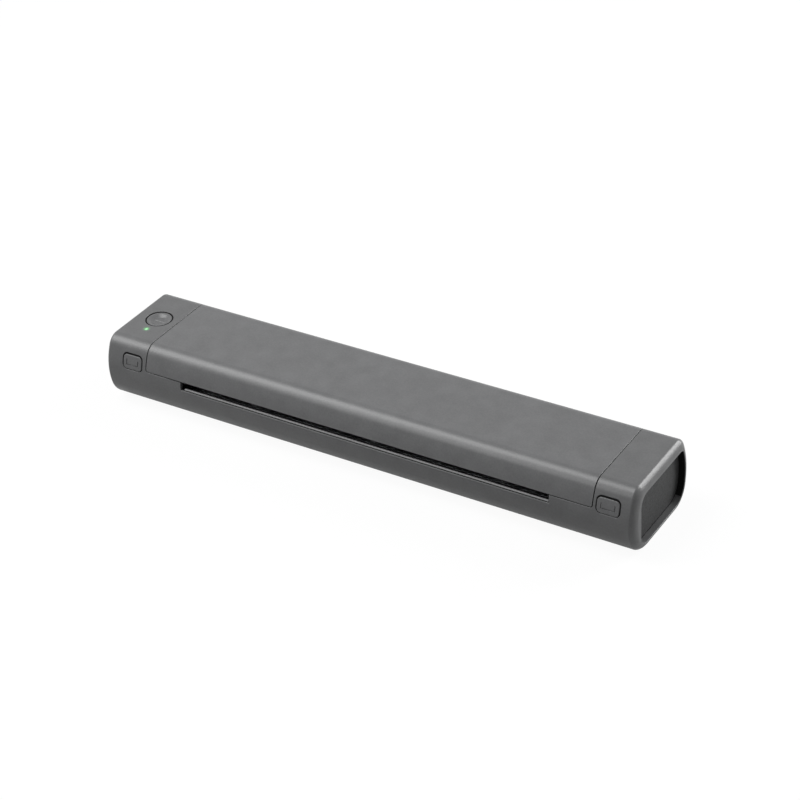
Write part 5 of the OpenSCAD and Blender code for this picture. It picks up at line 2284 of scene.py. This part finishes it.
def make_finishes() -> dict[str, bpy.types.Material]:
    """Builds every finish.

    Returns:
        The materials by name.
    """
    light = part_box("status_light_pipe")
    at = ((light[0].x + light[1].x) / 2, (light[0].y + light[1].y) / 2, light[1].z)
    finishes = [
        HousingPlastic("housing_plastic", (0.083, 0.084, 0.0855), 0.36, light_at=at),
        MouldedPlastic("cover_plastic", (0.092, 0.093, 0.095), 0.36),
        MouldedPlastic("bottom_plastic", (0.0845, 0.0855, 0.087), 0.45),
        MouldedPlastic("end_plastic", (0.03, 0.0305, 0.031), 0.6, 0.95, grain_size=0.42 * MM,
                       grain_depth=0.08 * MM, specular=0.25, speckle=0.9),
        MouldedPlastic("inner_plastic", (0.022, 0.022, 0.024), 0.55),
        # Near black, for the painted shade in the button gaps and round the end panels.
        MouldedPlastic("painted_shade_black", (0.006, 0.006, 0.006), 0.7, specular=0.08),
        MouldedPlastic("button_plastic", (0.088, 0.089, 0.091), 0.36),
        # Painted highlight: a lighter grey for the power button's raised mark, standing in for the
        # light it catches.
        MouldedPlastic("button_mark_painted_highlight", (0.21, 0.212, 0.215), 0.36, 0.05),
        MouldedPlastic("nylon", (0.72, 0.7, 0.63), 0.4, 0.05),
        Rubber("roller_rubber", (0.018, 0.018, 0.019)),
        Rubber("foot_rubber", (0.03, 0.03, 0.031)),
        Metal("brass", (0.78, 0.56, 0.24), 0.28),
        Metal("steel_sheet", (0.6, 0.61, 0.62), 0.36, Axis.Y),
        Metal("steel_pin", (0.72, 0.72, 0.73), 0.2),
        Metal("aluminium", (0.72, 0.73, 0.74), 0.34),
        # Painted highlight: a light grey plastic for the tear bar, far lighter than the housing,
        # standing in for the light that its lip catches.
        MouldedPlastic("tear_metal", (0.27, 0.27, 0.273), 0.36, 0.05),
        Glaze("ceramic", (0.8, 0.77, 0.68)),
        Board("board_green", (0.012, 0.09, 0.03), (0.02, 0.17, 0.05)),
        MouldedPlastic("chip_black", (0.012, 0.012, 0.013), 0.38),
        Wrap("cell_wrap", (0.05, 0.16, 0.36)),
        Ribbon("ribbon", (0.75, 0.73, 0.68), (0.35, 0.34, 0.32)),
        LightPipe("light_pipe", (0.4, 0.74, 0.43), (0.1, 0.46, 0.14), at, STATUS_LIGHT_RADIUS),
    ]
    return {finish.name: finish.material() for finish in finishes}


NODES_BY_FINISH = {
    "bottom_plastic": ("bottom_cover",),
    "inner_plastic": ("lower_paper_guide", "cover_liner", "battery_cradle"),
    "steel_sheet": (
        "left_chassis_plate", "right_chassis_plate", "chassis_frame", "usb_c_socket",
        "stepper_motor",
    ),
    "steel_pin": (
        "bottom_screws", "head_pivot_pin", "motor_screws", "motor_shaft", "compound_gear_axle",
        "hinge_pins", "platen_shaft",
    ),
    "aluminium": ("print_head_heat_sink",),
    "ceramic": ("print_head_ceramic",),
    "brass": ("motor_pinion",),
    "nylon": (
        "compound_gear", "platen_gear", "platen_bushes", "left_latch_slider", "right_latch_slider",
    ),
    "roller_rubber": ("platen_roller",),
    "cell_wrap": ("battery_cells",),
    "board_green": ("main_board", "io_board"),
    "chip_black": ("main_board_chips", "power_switch", "paper_sensor", "cover_switch"),
    "ribbon": ("head_ribbon_cable",),
    "light_pipe": ("status_light",),
}


def main() -> None:
    """Builds the printer's looks piece by piece, then the studio."""
    logging.basicConfig(level=logging.INFO, format="%(name)s: %(message)s")
    finishes = make_finishes()
    surface = BodySurface(BodySection(BodySize()))
    openings = Openings()
    buttons = finishes["button_plastic"], finishes["painted_shade_black"]
    parts = [
        Housing(surface, openings, finishes["housing_plastic"], finishes["painted_shade_black"]),
        Cover(surface, openings, finishes["cover_plastic"]),
        ReleaseButton("left_release_button", "left_release", surface, *buttons),
        ReleaseButton("right_release_button", "right_release", surface, *buttons),
        PowerButton(*buttons, surface.size.top, finishes["button_mark_painted_highlight"]),
        StatusLight(finishes["light_pipe"]),
        EndPanels(surface, finishes["end_plastic"]),
        TearBar(finishes["tear_metal"]),
        Feet(finishes["foot_rubber"]),
        Springs(finishes["steel_pin"]),
        Mechanism(finishes, NODES_BY_FINISH),
        Studio(),
    ]
    for part in parts:
        part.build()
        log.info("built %s", type(part).__name__)


if __name__ == "__main__":
    main()
